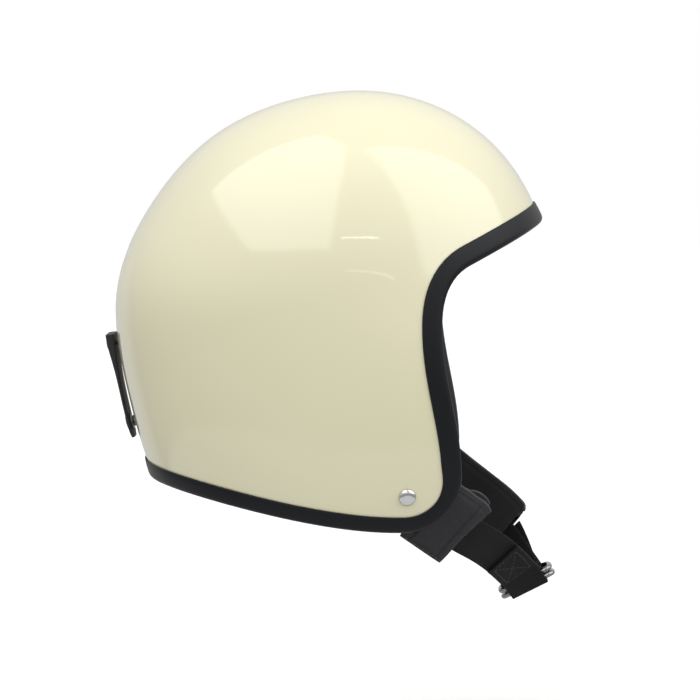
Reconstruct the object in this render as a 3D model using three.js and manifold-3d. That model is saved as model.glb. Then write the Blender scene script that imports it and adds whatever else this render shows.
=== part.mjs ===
// Open face motorcycle helmet with its lining, chin strap and goggle strap. Millimetres.
// +X is forward, +Y is the wearer's left, +Z is up. The origin is the centre of the head cavity.

import * as THREE from "three";
import { mergeVertices } from "three/addons/utils/BufferGeometryUtils.js";
import Module from "manifold-3d";

const wasm = await Module();
wasm.setup();

// Shell: an egg. Its side outline is a smooth closed curve drawn by control radii, one every
// 30 degrees from +X towards +Z, and its cross-sections are rounded ellipses.
const OUTLINE_RADII = [153, 155.2, 141.6, 121, 114, 109, 120.2, 122, 161, 225, 228, 211];
const HALF_WIDTH = 115;
const FULLNESS = 0.4;
const SHELL_WALL = 4;
const SHELL_BANDS = 16;
const LINING_BANDS = 12;
const EGG_SECTORS = 36;
const GAP = 0.3;
const OUTSIDE = 260;

// Rim: the side view of the trim's free edge, as x and z.
const BROW = [170, 56.5];
const TEMPLE_TOP = [104, 23.4];
const TEMPLE_CORNER = [86.2, 15.1];
const TEMPLE_BOTTOM = [86.2, -12];
const CHEEK_EASE = [86.2, -45, 97.6, -70];
const JAW_CENTRE = [62.5, -103.4];
const JAW_RADIUS = 35.7;
const SIDE_EASE = [15, -139.1, -40, -121.2];
const SIDE_END = [-84, -115.3];
const NAPE = [-140, -111];

// Edge trim: a channel of black rubber, drawn as inset from the free edge and height on the shell.
const SHELL_EDGE_INSET = 4;
const TRIM_SECTION = [
  [13, 0.5], [12.5, 1.1], [4, 1.8], [1.2, 1.1], [0, -1.2], [0.5, -4.9], [3, -7.2], [7, -7.4],
  [7, -6.2], [1.5, -6.2], [1.5, 0.5],
];
const TRIM_STATIONS = 38;

// Lining, as depths below the shell's outer surface.
const LINER_TOP = 5.4;
const LINER_BOTTOM = 26;
const PADDING_TOP = 26.4;
const PADDING_BOTTOM = 33;
const CHEEK_TOP = 20;
const CHEEK_BOTTOM = 38;
const NECK_ROLL_BOTTOM = 34;
const LINER_INSET = 14;
const NECK_ROLL_HEIGHT = 22;
const CHEEK_LINE = -40;
const CHEEK_BACK = 10;
const CHEEK_INSET = 7;
const NECK_ROLL_FRONT = 8;
const CROWN_LINE = 45.2;
const EAR_RADIUS = 26;

// Chin strap: the right half's centre line as x, distance from the centre plane, z, and the angle of its
// width above the horizontal.
const RIVET = [65, -116];
const STRAP_COURSE = [
  [65, 85, -116, 52], [71.5, 84.4, -121.1, 52], [79, 80, -127, 52], [86, 76.2, -132.4, 52],
  [99, 70.5, -142, 51], [114, 57, -152.5, 48], [125, 41, -163, 42], [133.5, 24, -173.2, 34],
  [137.2, 13, -177.4, 27],
];
const STRAP_START = -10;
const WEBBING_WIDTH = 25;
const WEBBING_THICKNESS = 1.6;
const COVER_WIDTH = 46;
const COVER_THICKNESS = 5.4;
const COVER_WALL = 1.2;
const COVER_START = 0.2;
const LEFT_COVER_RISE = 3;
const RIGHT_COVER_END = 0.5;
const LEFT_COVER_END = 0.715;
const STITCHED = [0.886, 0.72];
const TAIL = [0.869, 0.775];
const TAIL_DRIFT = 6;
const SNAP_AT = 0.81;
const SNAP_RADIUS = 5.5;
const SNAP_HEIGHT = 2.2;
const SNAP_BASE_RADIUS = 4.5;
const SNAP_BASE_HEIGHT = 1.2;
const LAYER_GAP = 0.5;

// D-rings, in their own frame: X across the webbing, Y to the wearer's left, Z towards the chin.
const RING_PLACE = [139.6, 0, -181.4];
const RING_TILT = 27;
const RING_WIRE = 1.7;
const RING_HALF_WIDTH = 17;
const RING_BAR_Y = -11;
const RING_BOW_Y = 12;
const RING_BOW_RADIUS = 12;
const RING_BAR_RADIUS = 4;
const RING_SPACING = 3.8;
const LOWER_RING_TILT = 4;
const RING_SIDES = 6;

// Rivets, snaps and washers.
const SHANK_RADIUS = 3;
const HOLE_CLEARANCE = 0.3;
const CAP_RADIUS = 5.2;
const CAP_HEIGHT = 2.4;
const SHOULDER_RADIUS = 5;
const SHOULDER_LENGTH = 4.2;
const PEEN_RADIUS = 4.2;
const WASHER_RADIUS = 6.5;
const WASHER_THICKNESS = 1.2;
const STRAP_CLEARANCE = 0.5;
const WASHER_CLEARANCE = 0.6;
const SMALL_SHANK = 1.6;

// Goggle strap on the back of the shell, as angles about the origin from +X towards +Z.
const GOGGLE_WIDTH = 25;
const GOGGLE_TOP = 192;
const GOGGLE_SPLIT = 197.5;
const GOGGLE_RIVET = 194.8;
const GOGGLE_SNAP = 217;
const GOGGLE_BOTTOM = 220.7;
const SPLIT_GAP = 0.3;
const GOGGLE_LIFT = 1.7;
const GOGGLE_LOW_LIFT = 1.6;
const GOGGLE_LIFT_REACH = 0.45;
const GOGGLE_THIN = 1.8;
const GOGGLE_THICK_TOP = 3.4;
const GOGGLE_THICK_REACH = 0.3;
const GOGGLE_ROUND_FROM = 0.9;
const GOGGLE_ROUNDING = 0.45;
const POCKET_RADIUS = 7;

// Profiles of the goggle strap's fasteners, as radius and height above the shell's outer surface.
const GOGGLE_RIVET_PROFILE = [
  [0, -7.4], [1.6, -7.4], [1.6, 6.9], [4.2, 6.9], [3.6, 7.6], [2, 8], [0, 8.1],
];
const STUD_PROFILE = [
  [0, -6.6], [1.6, -6.6], [1.6, 0.3], [3.6, 0.3], [3.6, 2.2], [1.5, 2.2], [1.5, 3.1], [0, 3.1],
];
const SNAP_CAP_PROFILE = [[0, 3.4], [1.6, 3.4], [1.6, 5.4], [5.4, 5.4], [5.2, 6], [3.6, 6.5], [0, 6.7]];
const SOCKET_PROFILE = ringProfile(1.9, 5, 2.5, 3);
const GOGGLE_WASHER_PROFILE = ringProfile(1.9, 5, -5.9, -4.9);

const TURNED_SIDES = 16;

const PAINT = { color: 0xe8e4bd, roughness: 0.12, metalness: 0 };
const RUBBER = { color: 0x1c2022, roughness: 0.5, metalness: 0 };
const FOAM = { color: 0x26282a, roughness: 0.9, metalness: 0 };
const CLOTH = { color: 0x17181a, roughness: 0.95, metalness: 0 };
const WEBBING = { color: 0x171717, roughness: 0.8, metalness: 0 };
const LEATHER = { color: 0x232327, roughness: 0.55, metalness: 0 };
const CHROME = { color: 0xd8dadc, roughness: 0.1, metalness: 1 };
const STEEL = { color: 0x9a9c9e, roughness: 0.35, metalness: 1 };

const radians = THREE.MathUtils.degToRad;
const vector = (x, y, z) => new THREE.Vector3(x, y, z);

// ---- Solids ----

function solid(geometry) {
  const bare = new THREE.BufferGeometry().setAttribute("position", geometry.getAttribute("position"));
  bare.setIndex(geometry.index);
  const merged = mergeVertices(bare, 1e-4);
  const triVerts = new Uint32Array(merged.index.array);
  return new wasm.Manifold(
    new wasm.Mesh({ numProp: 3, vertProperties: merged.attributes.position.array, triVerts }),
  );
}

function geometryOf(made) {
  const mesh = made.getMesh();
  const geometry = new THREE.BufferGeometry();
  geometry.setAttribute("position", new THREE.BufferAttribute(mesh.vertProperties, 3));
  geometry.setIndex(new THREE.BufferAttribute(mesh.triVerts, 1));
  geometry.computeVertexNormals();
  return geometry;
}

// Skins equal rings of points into one closed solid. The rings join end to end, or each end closes on
// one point: the one given, or the ring's centre.
function loft(rings, { joined = false, first, last } = {}) {
  const size = rings[0].length;
  const points = rings.flat();
  const index = [];
  const spans = joined ? rings.length : rings.length - 1;
  for (let i = 0; i < spans; i++)
    for (let j = 0; j < size; j++) {
      const a = i * size + j;
      const b = i * size + ((j + 1) % size);
      const c = ((i + 1) % rings.length) * size + j;
      const d = ((i + 1) % rings.length) * size + ((j + 1) % size);
      index.push(a, b, c, b, d, c);
    }
  if (!joined) {
    const middle = (ring) => ring.reduce((sum, p) => sum.add(p), vector(0, 0, 0)).divideScalar(size);
    const start = points.push(first ?? middle(rings[0])) - 1;
    const end = points.push(last ?? middle(rings.at(-1))) - 1;
    const base = (rings.length - 1) * size;
    for (let j = 0; j < size; j++) {
      const next = (j + 1) % size;
      index.push(start, next, j, end, base + j, base + next);
    }
  }
  return facingOut(points, index);
}

function facingOut(points, index) {
  let volume = 0;
  for (let i = 0; i < index.length; i += 3) {
    const [a, b, c] = [points[index[i]], points[index[i + 1]], points[index[i + 2]]];
    volume += a.dot(b.clone().cross(c));
  }
  if (volume < 0) index.reverse();
  const geometry = new THREE.BufferGeometry().setFromPoints(points);
  geometry.setIndex(index);
  return geometry;
}

// A side-view outline given in x and z, made solid from one y to another.
function prism(outline, yLow, yHigh) {
  const shape = new THREE.Shape(outline);
  const geometry = new THREE.ExtrudeGeometry(shape, { depth: yHigh - yLow, bevelEnabled: false });
  geometry.rotateX(Math.PI / 2);
  geometry.translate(0, yHigh, 0);
  return solid(geometry);
}

function block([xLow, yLow, zLow], [xHigh, yHigh, zHigh]) {
  const geometry = new THREE.BoxGeometry(xHigh - xLow, yHigh - yLow, zHigh - zLow);
  geometry.translate((xLow + xHigh) / 2, (yLow + yHigh) / 2, (zLow + zHigh) / 2);
  return solid(geometry);
}

// A rod of one radius between two points.
function rod(radius, from, to) {
  const along = to.clone().sub(from);
  const geometry = new THREE.CylinderGeometry(radius, radius, along.length(), TURNED_SIDES);
  geometry.applyQuaternion(new THREE.Quaternion().setFromUnitVectors(vector(0, 1, 0), along.normalize()));
  geometry.translate(...from.clone().add(to).multiplyScalar(0.5).toArray());
  return solid(geometry);
}

// A lathe profile of radius and height, turned about the line from a point along a direction.
function turned(profile, place, direction) {
  const points = profile.map(([radius, height]) => new THREE.Vector2(radius, height));
  const geometry = new THREE.LatheGeometry(points, TURNED_SIDES);
  geometry.applyQuaternion(new THREE.Quaternion().setFromUnitVectors(vector(0, 1, 0), direction));
  geometry.translate(...place.toArray());
  const made = mergeVertices(new THREE.BufferGeometry()
    .setAttribute("position", geometry.getAttribute("position"))
    .setIndex(geometry.index), 1e-4);
  const corner = new THREE.Vector3();
  const corners = [];
  for (let i = 0; i < made.attributes.position.count; i++)
    corners.push(corner.fromBufferAttribute(made.attributes.position, i).clone());
  const index = [];
  for (let i = 0; i < made.index.count; i += 3) {
    const [a, b, c] = [made.index.getX(i), made.index.getX(i + 1), made.index.getX(i + 2)];
    if (a !== b && b !== c && c !== a) index.push(a, b, c);
  }
  return facingOut(corners, index);
}

function ringProfile(inner, outer, low, high) {
  return [[inner, low], [outer, low], [outer, high], [inner, high], [inner, low]];
}

// A shallow dome on a rim of a third of its height.
function domeProfile(radius, height, low) {
  const profile = [[0, low], [radius, low]];
  const rim = height / 3;
  const steps = 4;
  for (let i = 0; i < steps; i++) {
    const angle = ((i / steps) * Math.PI) / 2;
    profile.push([radius * Math.cos(angle), low + rim + (height - rim) * Math.sin(angle)]);
  }
  return [...profile, [0, low + height]];
}

// ---- The shell's surface ----

function outlineRadius(angle) {
  const step = Math.PI / 6;
  const turns = (((angle / step) % 12) + 12) % 12;
  const i = Math.floor(turns);
  const t = turns - i;
  const radius = (k) => OUTLINE_RADII[(i + k + 12) % 12];
  return (
    ((1 - t) ** 3 * radius(-1) +
      (3 * t ** 3 - 6 * t ** 2 + 4) * radius(0) +
      (1 + 3 * t + 3 * t ** 2 - 3 * t ** 3) * radius(1) +
      t ** 3 * radius(2)) / 6
  );
}

// How far a side-view point lies from the centre, as a share of the outline's radius there.
function share(x, z, depth = 0) {
  return Math.hypot(x, z) / (outlineRadius(Math.atan2(z, x)) - depth);
}

function halfWidth(x, z, depth = 0) {
  const q = share(x, z, depth);
  return q >= 1 ? 0 : (HALF_WIDTH - depth) * Math.sqrt((1 - q * q) * (1 + FULLNESS * q * q));
}

// Zero on the shell's outer surface, and rising outwards.
function level(x, y, z) {
  const q = share(x, z);
  return (y / HALF_WIDTH) ** 2 - (1 - q * q) * (1 + FULLNESS * q * q);
}

function slope({ x, y, z }) {
  const step = 0.01;
  return vector(
    (level(x + step, y, z) - level(x - step, y, z)) / (2 * step),
    (level(x, y + step, z) - level(x, y - step, z)) / (2 * step),
    (level(x, y, z + step) - level(x, y, z - step)) / (2 * step),
  );
}

const shellNormal = (point) => slope(point).normalize();

// Moves a nearby point onto the shell's outer surface.
function settle(point) {
  for (let i = 0; i < 5; i++) {
    const rise = slope(point);
    point.addScaledVector(rise, -level(point.x, point.y, point.z) / rise.lengthSq());
  }
  return point;
}

// The egg at one depth below the outer surface, as rings about the Y axis.
function egg(depth, bands = LINING_BANDS) {
  const rings = [];
  for (let i = 1; i < bands; i++) {
    const latitude = -Math.PI / 2 + (i / bands) * Math.PI;
    const spread = Math.cos(latitude);
    const y = (HALF_WIDTH - depth) * Math.sin(latitude) * Math.sqrt(1 + FULLNESS * spread ** 2);
    const ring = [];
    for (let j = 0; j < EGG_SECTORS; j++) {
      const angle = (j / EGG_SECTORS) * 2 * Math.PI;
      const radius = (outlineRadius(angle) - depth) * spread;
      ring.push(vector(radius * Math.cos(angle), y, radius * Math.sin(angle)));
    }
    rings.push(ring);
  }
  const pole = HALF_WIDTH - depth;
  return solid(loft(rings, { first: vector(0, -pole, 0), last: vector(0, pole, 0) }));
}

const layer = (top, bottom, bands) => egg(top, bands).subtract(egg(bottom, bands));

// ---- The rim ----

function drawRim() {
  const rim = new THREE.Path();
  rim.moveTo(...BROW);
  rim.lineTo(...TEMPLE_TOP);
  rim.quadraticCurveTo(...TEMPLE_CORNER, ...TEMPLE_BOTTOM);
  rim.bezierCurveTo(...CHEEK_EASE, JAW_CENTRE[0] + JAW_RADIUS, JAW_CENTRE[1]);
  rim.absarc(...JAW_CENTRE, JAW_RADIUS, 0, -Math.PI / 2, true);
  rim.bezierCurveTo(...SIDE_EASE, ...SIDE_END);
  rim.lineTo(...NAPE);
  return rim;
}

const RIM = drawRim();

// A point of the rim's side view, moved into the shell by an inset.
function rimPoint(t, inset) {
  const point = RIM.getPoint(t);
  const tangent = RIM.getTangent(t);
  return new THREE.Vector2(point.x + inset * tangent.y, point.y - inset * tangent.x);
}

// The side view of everything inside the rim by an inset, and above it by a rise, for cutting layers.
function insideRim(inset, rise = 0) {
  const outline = [];
  for (let i = 0; i <= 60; i++) outline.push(rimPoint(i / 60, inset));
  const corners = [[-OUTSIDE, -45], [-OUTSIDE, OUTSIDE], [OUTSIDE, OUTSIDE], [OUTSIDE, 60 + inset]];
  corners.forEach(([x, z]) => outline.push(new THREE.Vector2(x, z)));
  return prism(outline, -OUTSIDE, OUTSIDE).translate([0, 0, rise]);
}

// Where the rim crosses the centre plane, searched from one end of the rim.
function crossing(from, to) {
  for (let i = 0; i < 40; i++) {
    const middle = (from + to) / 2;
    const point = RIM.getPoint(middle);
    if (share(point.x, point.y) >= 1) from = middle;
    else to = middle;
  }
  return to;
}

// Evenly spaced points round the free edge: down the right side from brow to nape, and back on the left.
function edgeLoop() {
  const [start, end] = [crossing(0, 0.15), crossing(1, 0.85)];
  const fine = [];
  for (let i = 0; i <= 300; i++) {
    const { x, y: z } = RIM.getPoint(start + (end - start) * (0.5 - 0.5 * Math.cos((i / 300) * Math.PI)));
    fine.push(vector(x, i % 300 === 0 ? 0 : -halfWidth(x, z), z));
  }
  const curve = new THREE.CatmullRomCurve3(fine);
  curve.arcLengthDivisions = 1200;
  const right = curve.getSpacedPoints(TRIM_STATIONS);
  const left = right.slice(1, -1).reverse().map((p) => vector(p.x, -p.y, p.z));
  return [...right, ...left];
}

const EDGE = edgeLoop();

// A loop round the rim at one inset from the free edge and one height above the shell's outer surface.
function rimLoop(inset, height) {
  return EDGE.map((point, i) => {
    const along = EDGE[(i + 1) % EDGE.length].clone().sub(EDGE.at(i - 1)).normalize();
    const inward = along.cross(shellNormal(point)).normalize();
    const place = settle(point.clone().addScaledVector(inward, inset));
    return place.addScaledVector(shellNormal(place), height);
  });
}

// ---- Bands and rings ----

// Sections of a flat band: each frame has its centre and the direction of its width.
function bandSections(frames, outline) {
  return frames.map((frame, i) => {
    const before = frames[Math.max(i - 1, 0)].centre;
    const after = frames[Math.min(i + 1, frames.length - 1)].centre;
    const along = after.clone().sub(before).normalize();
    const up = along.clone().cross(frame.width).normalize();
    return outline.map(([across, out]) =>
      frame.centre.clone().addScaledVector(frame.width, across).addScaledVector(up, out));
  });
}

function rectangle(width, thickness) {
  const [w, t] = [width / 2, thickness / 2];
  return [[-w, -t], [0, -t], [w, -t], [w, t], [0, t], [-w, t]];
}

// A flat tube's section: its two long sides are straight and its two ends are round.
function flatTube(width, thickness) {
  const outline = [];
  const radius = thickness / 2;
  const straight = width / 2 - radius;
  for (const side of [1, -1])
    for (let i = 0; i <= 4; i++) {
      const angle = (i / 4 - 0.5) * Math.PI;
      outline.push([side * (straight + radius * Math.cos(angle)), side * radius * Math.sin(angle)]);
    }
  return outline;
}

const band = (frames, width, thickness) => loft(bandSections(frames, rectangle(width, thickness)));

function sleeve(frames, width, thickness, wall) {
  const outer = bandSections(frames, flatTube(width, thickness));
  const inner = bandSections(frames, flatTube(width - 2 * wall, thickness - 2 * wall));
  return loft([...outer, ...inner.reverse()], { joined: true });
}

const widthAt = (angle) => vector(Math.cos(radians(angle)), 0, Math.sin(radians(angle)));

// The hanging strap on one side, from its start at the rivet (t = 0) to the rings (t = 1).
function hangingFrame(side, t) {
  const places = STRAP_COURSE.map(([x, y, z]) => vector(x, side * y, z));
  const angles = STRAP_COURSE.map(([, , , angle]) => vector(angle, 0, 0));
  const centre = new THREE.CatmullRomCurve3(places).getPoint(t);
  const angle = new THREE.CatmullRomCurve3(angles).getPoint(t).x;
  return { centre, width: widthAt(angle) };
}

function hangingFrames(side, from, to, count) {
  const frames = [];
  for (let i = 0; i <= count; i++) frames.push(hangingFrame(side, from + ((to - from) * i) / count));
  return frames;
}

// The webbing's end runs straight on past the rivet.
function endFrames(side) {
  const [a, b] = [hangingFrame(side, 0), hangingFrame(side, 0.02)];
  const along = b.centre.clone().sub(a.centre).normalize();
  return [STRAP_START, STRAP_START / 2].map((distance) => (
    { centre: a.centre.clone().addScaledVector(along, distance), width: a.width }));
}

// A frame beside the rings, from its place in the rings' own frame.
function ringSideFrame(across, y, z) {
  const width = widthAt(RING_TILT);
  const up = vector(-Math.sin(radians(RING_TILT)), 0, Math.cos(radians(RING_TILT)));
  const centre = vector(...RING_PLACE);
  centre.y += y;
  centre.addScaledVector(width, across).addScaledVector(up, z);
  return { centre, width };
}

// A half turn of webbing round a bar that lies across it, from the chin side to the outer side.
function halfTurn(y, z, radius, side, count) {
  const frames = [];
  for (let i = 0; i <= count; i++) {
    const angle = (i / count) * Math.PI;
    frames.push(ringSideFrame(0, y + side * radius * Math.sin(angle), z + radius * Math.cos(angle)));
  }
  return frames;
}

// The layer that lies on the outside of the hanging strap, drifting forward by the drift given.
function outerLayer(side, from, to, count, drift) {
  return hangingFrames(side, from, to, count).map((frame, i) => {
    const ahead = hangingFrame(side, from + ((to - from) * i) / count + 0.01);
    const along = ahead.centre.clone().sub(frame.centre).normalize();
    const out = along.clone().cross(frame.width).normalize();
    if (out.z > 0) out.negate();
    const lift = WEBBING_THICKNESS + LAYER_GAP;
    const centre = frame.centre.clone().addScaledVector(out, lift);
    return { centre: centre.addScaledVector(frame.width, (drift * i) / count), width: frame.width };
  });
}

// A closed wire bent to a D, lying in its own XY plane.
function wireD() {
  const path = new THREE.Path();
  const [w, low, high] = [RING_HALF_WIDTH, RING_BAR_Y, RING_BOW_Y];
  const [r, bow] = [RING_BAR_RADIUS, RING_BOW_RADIUS];
  path.moveTo(0, low);
  path.absarc(w - r, low + r, r, -Math.PI / 2, 0, false);
  path.absarc(w - bow, high - bow, bow, 0, Math.PI / 2, false);
  path.absarc(bow - w, high - bow, bow, Math.PI / 2, Math.PI, false);
  path.absarc(r - w, low + r, r, Math.PI, 1.5 * Math.PI, false);
  path.lineTo(0, low);
  const stations = 28;
  const rings = [];
  for (let i = 0; i < stations; i++) {
    const centre = path.getPointAt(i / stations);
    const tangent = path.getTangentAt(i / stations);
    const ring = [];
    for (let j = 0; j < RING_SIDES; j++) {
      const angle = (j / RING_SIDES) * 2 * Math.PI;
      const out = RING_WIRE * Math.cos(angle);
      ring.push(vector(centre.x + out * tangent.y, centre.y - out * tangent.x, RING_WIRE * Math.sin(angle)));
    }
    rings.push(ring);
  }
  return loft(rings, { joined: true });
}

// ---- The parts ----

const helmet = new THREE.Group();
const shellGroup = new THREE.Group();
const strapGroup = new THREE.Group();
const ringGroup = new THREE.Group();
const goggleGroup = new THREE.Group();
helmet.add(shellGroup, strapGroup, goggleGroup);
strapGroup.add(ringGroup);

function add(group, name, geometry, look) {
  const mesh = new THREE.Mesh(geometry, new THREE.MeshStandardMaterial(look));
  mesh.name = name;
  group.add(mesh);
  return mesh;
}

const addSolid = (group, name, made, look) => add(group, name, geometryOf(made), look);

// A point on the shell's back at an angle about the origin, with its outward direction.
function backPoint(degrees, height) {
  const angle = radians(degrees);
  const radius = outlineRadius(angle);
  const place = vector(radius * Math.cos(angle), 0, radius * Math.sin(angle));
  const out = shellNormal(place);
  return { place: place.addScaledVector(out, height), out };
}

function rivetPlace(side) {
  return vector(RIVET[0], side * halfWidth(...RIVET), RIVET[1]);
}

function shankHole(side) {
  const place = rivetPlace(side);
  return rod(SHANK_RADIUS + HOLE_CLEARANCE, place.clone().setY(side * 60), place.clone().setY(side * 130));
}

function backHole(degrees, radius) {
  return rod(radius, backPoint(degrees, -12).place, backPoint(degrees, 12).place);
}

function buildShell() {
  let shell = layer(0, SHELL_WALL, SHELL_BANDS).intersect(insideRim(SHELL_EDGE_INSET));
  for (const side of [-1, 1]) shell = shell.subtract(shankHole(side));
  for (const angle of [GOGGLE_RIVET, GOGGLE_SNAP]) {
    shell = shell.subtract(backHole(angle, SMALL_SHANK + HOLE_CLEARANCE));
  }
  addSolid(shellGroup, "outer_shell", shell, PAINT);
}

function buildTrim() {
  const loops = TRIM_SECTION.map(([inset, height]) => rimLoop(inset, height));
  add(shellGroup, "edge_trim", loft(loops, { joined: true }), RUBBER);
}

const inFront = (x, z) => block([x, -OUTSIDE, z], [OUTSIDE, OUTSIDE, OUTSIDE]);
const behind = (x) => block([-OUTSIDE, -OUTSIDE, -OUTSIDE], [x, OUTSIDE, OUTSIDE]);

// The upper lining: above the cheek pads in front, and above the neck roll behind.
function upperRegion() {
  const front = insideRim(LINER_INSET).intersect(inFront(-OUTSIDE, CHEEK_LINE));
  const back = insideRim(LINER_INSET, NECK_ROLL_HEIGHT + GAP).intersect(behind(NECK_ROLL_FRONT));
  return front.intersect(inFront(NECK_ROLL_FRONT, -OUTSIDE)).add(back);
}

function buildLiner() {
  let liner = layer(LINER_TOP, LINER_BOTTOM).intersect(upperRegion());
  for (const angle of [GOGGLE_RIVET, GOGGLE_SNAP]) liner = liner.subtract(backHole(angle, POCKET_RADIUS));
  addSolid(shellGroup, "eps_liner", liner, FOAM);
}

function buildPadding() {
  const padding = layer(PADDING_TOP, PADDING_BOTTOM).intersect(upperRegion());
  const crown = inFront(-OUTSIDE, CROWN_LINE);
  addSolid(shellGroup, "crown_pad", padding.intersect(crown), CLOTH);
  addSolid(shellGroup, "head_band", padding.subtract(inFront(-OUTSIDE, CROWN_LINE - GAP)), CLOTH);
}

function buildNeckRoll() {
  const inset = insideRim(LINER_INSET).subtract(insideRim(LINER_INSET, NECK_ROLL_HEIGHT));
  const roll = layer(LINER_TOP, NECK_ROLL_BOTTOM).intersect(inset).intersect(behind(NECK_ROLL_FRONT));
  addSolid(shellGroup, "neck_roll", roll.subtract(backHole(GOGGLE_SNAP, POCKET_RADIUS)), CLOTH);
}

function buildCheekPad(side, name) {
  const [low, high] = side < 0 ? [-OUTSIDE, 0] : [0, OUTSIDE];
  const quarter = block([CHEEK_BACK, low, -OUTSIDE], [OUTSIDE, high, CHEEK_LINE - GAP]);
  const ear = rod(EAR_RADIUS, vector(CHEEK_BACK, low, CHEEK_LINE), vector(CHEEK_BACK, high, CHEEK_LINE));
  const pad = layer(CHEEK_TOP, CHEEK_BOTTOM).intersect(insideRim(CHEEK_INSET)).intersect(quarter);
  addSolid(shellGroup, name, pad.subtract(ear), CLOTH);
}

// The chrome cap follows the shell, and its shank follows the strap's pivot line. The strap and its washer
// turn between the shoulder and the peened end.
function buildRivet(side, name) {
  const place = rivetPlace(side);
  const cap = turned(domeProfile(CAP_RADIUS, CAP_HEIGHT, GAP), place, shellNormal(place));
  const strap = side * STRAP_COURSE[0][1];
  const across = (radius, from, to) => (
    rod(radius, vector(place.x, from, place.z), vector(place.x, to, place.z)));
  const face = strap + side * (WEBBING_THICKNESS / 2 + STRAP_CLEARANCE);
  const peen = strap - side * (WEBBING_THICKNESS / 2 + WASHER_CLEARANCE + WASHER_THICKNESS + GAP);
  const rivet = solid(cap)
    .add(across(SHANK_RADIUS, place.y + side, peen))
    .add(across(SHOULDER_RADIUS, face, face + side * SHOULDER_LENGTH))
    .add(across(PEEN_RADIUS, peen, peen - side));
  addSolid(shellGroup, name, rivet, CHROME);
}

function buildRivetWasher(side, name) {
  const profile = ringProfile(SHANK_RADIUS + HOLE_CLEARANCE, WASHER_RADIUS, 0, WASHER_THICKNESS);
  const face = side * (STRAP_COURSE[0][1] - WEBBING_THICKNESS / 2 - WASHER_CLEARANCE);
  const place = vector(RIVET[0], face, RIVET[1]);
  add(shellGroup, name, turned(profile, place, vector(0, -side, 0)), STEEL);
}

function buildWebbing(side, name, ringFrames) {
  const frames = [...endFrames(side), ...hangingFrames(side, 0, 1, 20), ...ringFrames];
  const webbing = solid(band(frames, WEBBING_WIDTH, WEBBING_THICKNESS)).subtract(shankHole(side));
  addSolid(strapGroup, name, webbing, WEBBING);
}

function buildCover(side, name, end, rise) {
  const frames = hangingFrames(side, COVER_START, end, 8);
  frames.forEach((frame) => frame.centre.addScaledVector(frame.width, rise));
  add(strapGroup, name, sleeve(frames, COVER_WIDTH, COVER_THICKNESS, COVER_WALL), LEATHER);
}

// The right webbing holds both bars in a stitched loop.
function rightLoop() {
  const radius = RING_SPACING / 2 + RING_WIRE + GAP + WEBBING_THICKNESS / 2;
  const turn = halfTurn(RING_BAR_Y, 0, radius, 1, 10);
  return [...turn, ringSideFrame(0, RING_BAR_Y - 4, -radius), ...outerLayer(-1, ...STITCHED, 8, 0)];
}

// The left webbing goes round the upper ring's bow and back under the lower ring's bow.
function leftFold() {
  const radius = RING_WIRE + GAP + WEBBING_THICKNESS / 2;
  const turn = halfTurn(RING_BOW_Y - 3.3, RING_SPACING / 2, radius, -1, 8);
  const low = RING_SPACING / 2 - radius;
  return [...turn, ringSideFrame(0.5, RING_BOW_Y + 3.5, low), ...outerLayer(1, ...TAIL, 6, TAIL_DRIFT)];
}

// The snap that holds the tail: its cap on the tail's outside, and its base on the webbing's chin side.
function buildStrapSnap() {
  const [outside] = outerLayer(1, SNAP_AT, SNAP_AT, 1, 0);
  const main = hangingFrame(1, SNAP_AT);
  const out = outside.centre.clone().sub(main.centre).normalize();
  const along = (SNAP_AT - TAIL[0]) / (TAIL[1] - TAIL[0]);
  const face = WEBBING_THICKNESS / 2 + LAYER_GAP;
  const top = outside.centre.clone().addScaledVector(out, face);
  top.addScaledVector(main.width, TAIL_DRIFT * along);
  const cap = domeProfile(SNAP_RADIUS, SNAP_HEIGHT, 0);
  add(strapGroup, "strap_snap_cap", turned(cap, top, out), CHROME);
  const inside = main.centre.clone().addScaledVector(out, -face);
  const base = domeProfile(SNAP_BASE_RADIUS, SNAP_BASE_HEIGHT, 0);
  add(strapGroup, "strap_snap_base", turned(base, inside, out.clone().negate()), STEEL);
}

function buildRings() {
  ringGroup.position.set(...RING_PLACE);
  ringGroup.rotation.y = radians(-RING_TILT);
  const upper = add(ringGroup, "d_ring_upper", wireD(), CHROME);
  upper.position.z = RING_SPACING / 2;
  const lower = wireD();
  lower.translate(0, -RING_BAR_Y, 0);
  const ring = add(ringGroup, "d_ring_lower", lower, CHROME);
  ring.position.set(0, RING_BAR_Y, -RING_SPACING / 2);
  ring.rotation.x = radians(-LOWER_RING_TILT);
}

// The goggle strap stands a little off the shell, thick at its top and rounded at its bottom end.
function gogglePath(from, to, count) {
  const sections = [];
  for (let i = 0; i <= count; i++) {
    const angle = from + ((to - from) * i) / count;
    const down = (angle - GOGGLE_TOP) / (GOGGLE_BOTTOM - GOGGLE_TOP);
    const thickness = GOGGLE_THIN + GOGGLE_THICK_TOP * Math.exp(-((down / GOGGLE_THICK_REACH) ** 2));
    const past = Math.max(0, down - GOGGLE_ROUND_FROM) / (1 - GOGGLE_ROUND_FROM);
    const half = (GOGGLE_WIDTH / 2) * (1 - GOGGLE_ROUNDING * past ** 2);
    const hang = 1 - Math.exp(-((down / GOGGLE_LIFT_REACH) ** 2));
    const lift = GOGGLE_LIFT + GOGGLE_LOW_LIFT * hang;
    const inner = backPoint(angle, lift).place;
    const outer = backPoint(angle, lift + thickness).place;
    sections.push([
      inner.clone().setY(-half), inner, inner.clone().setY(half),
      outer.clone().setY(half), outer, outer.clone().setY(-half),
    ]);
  }
  return loft(sections);
}

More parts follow.
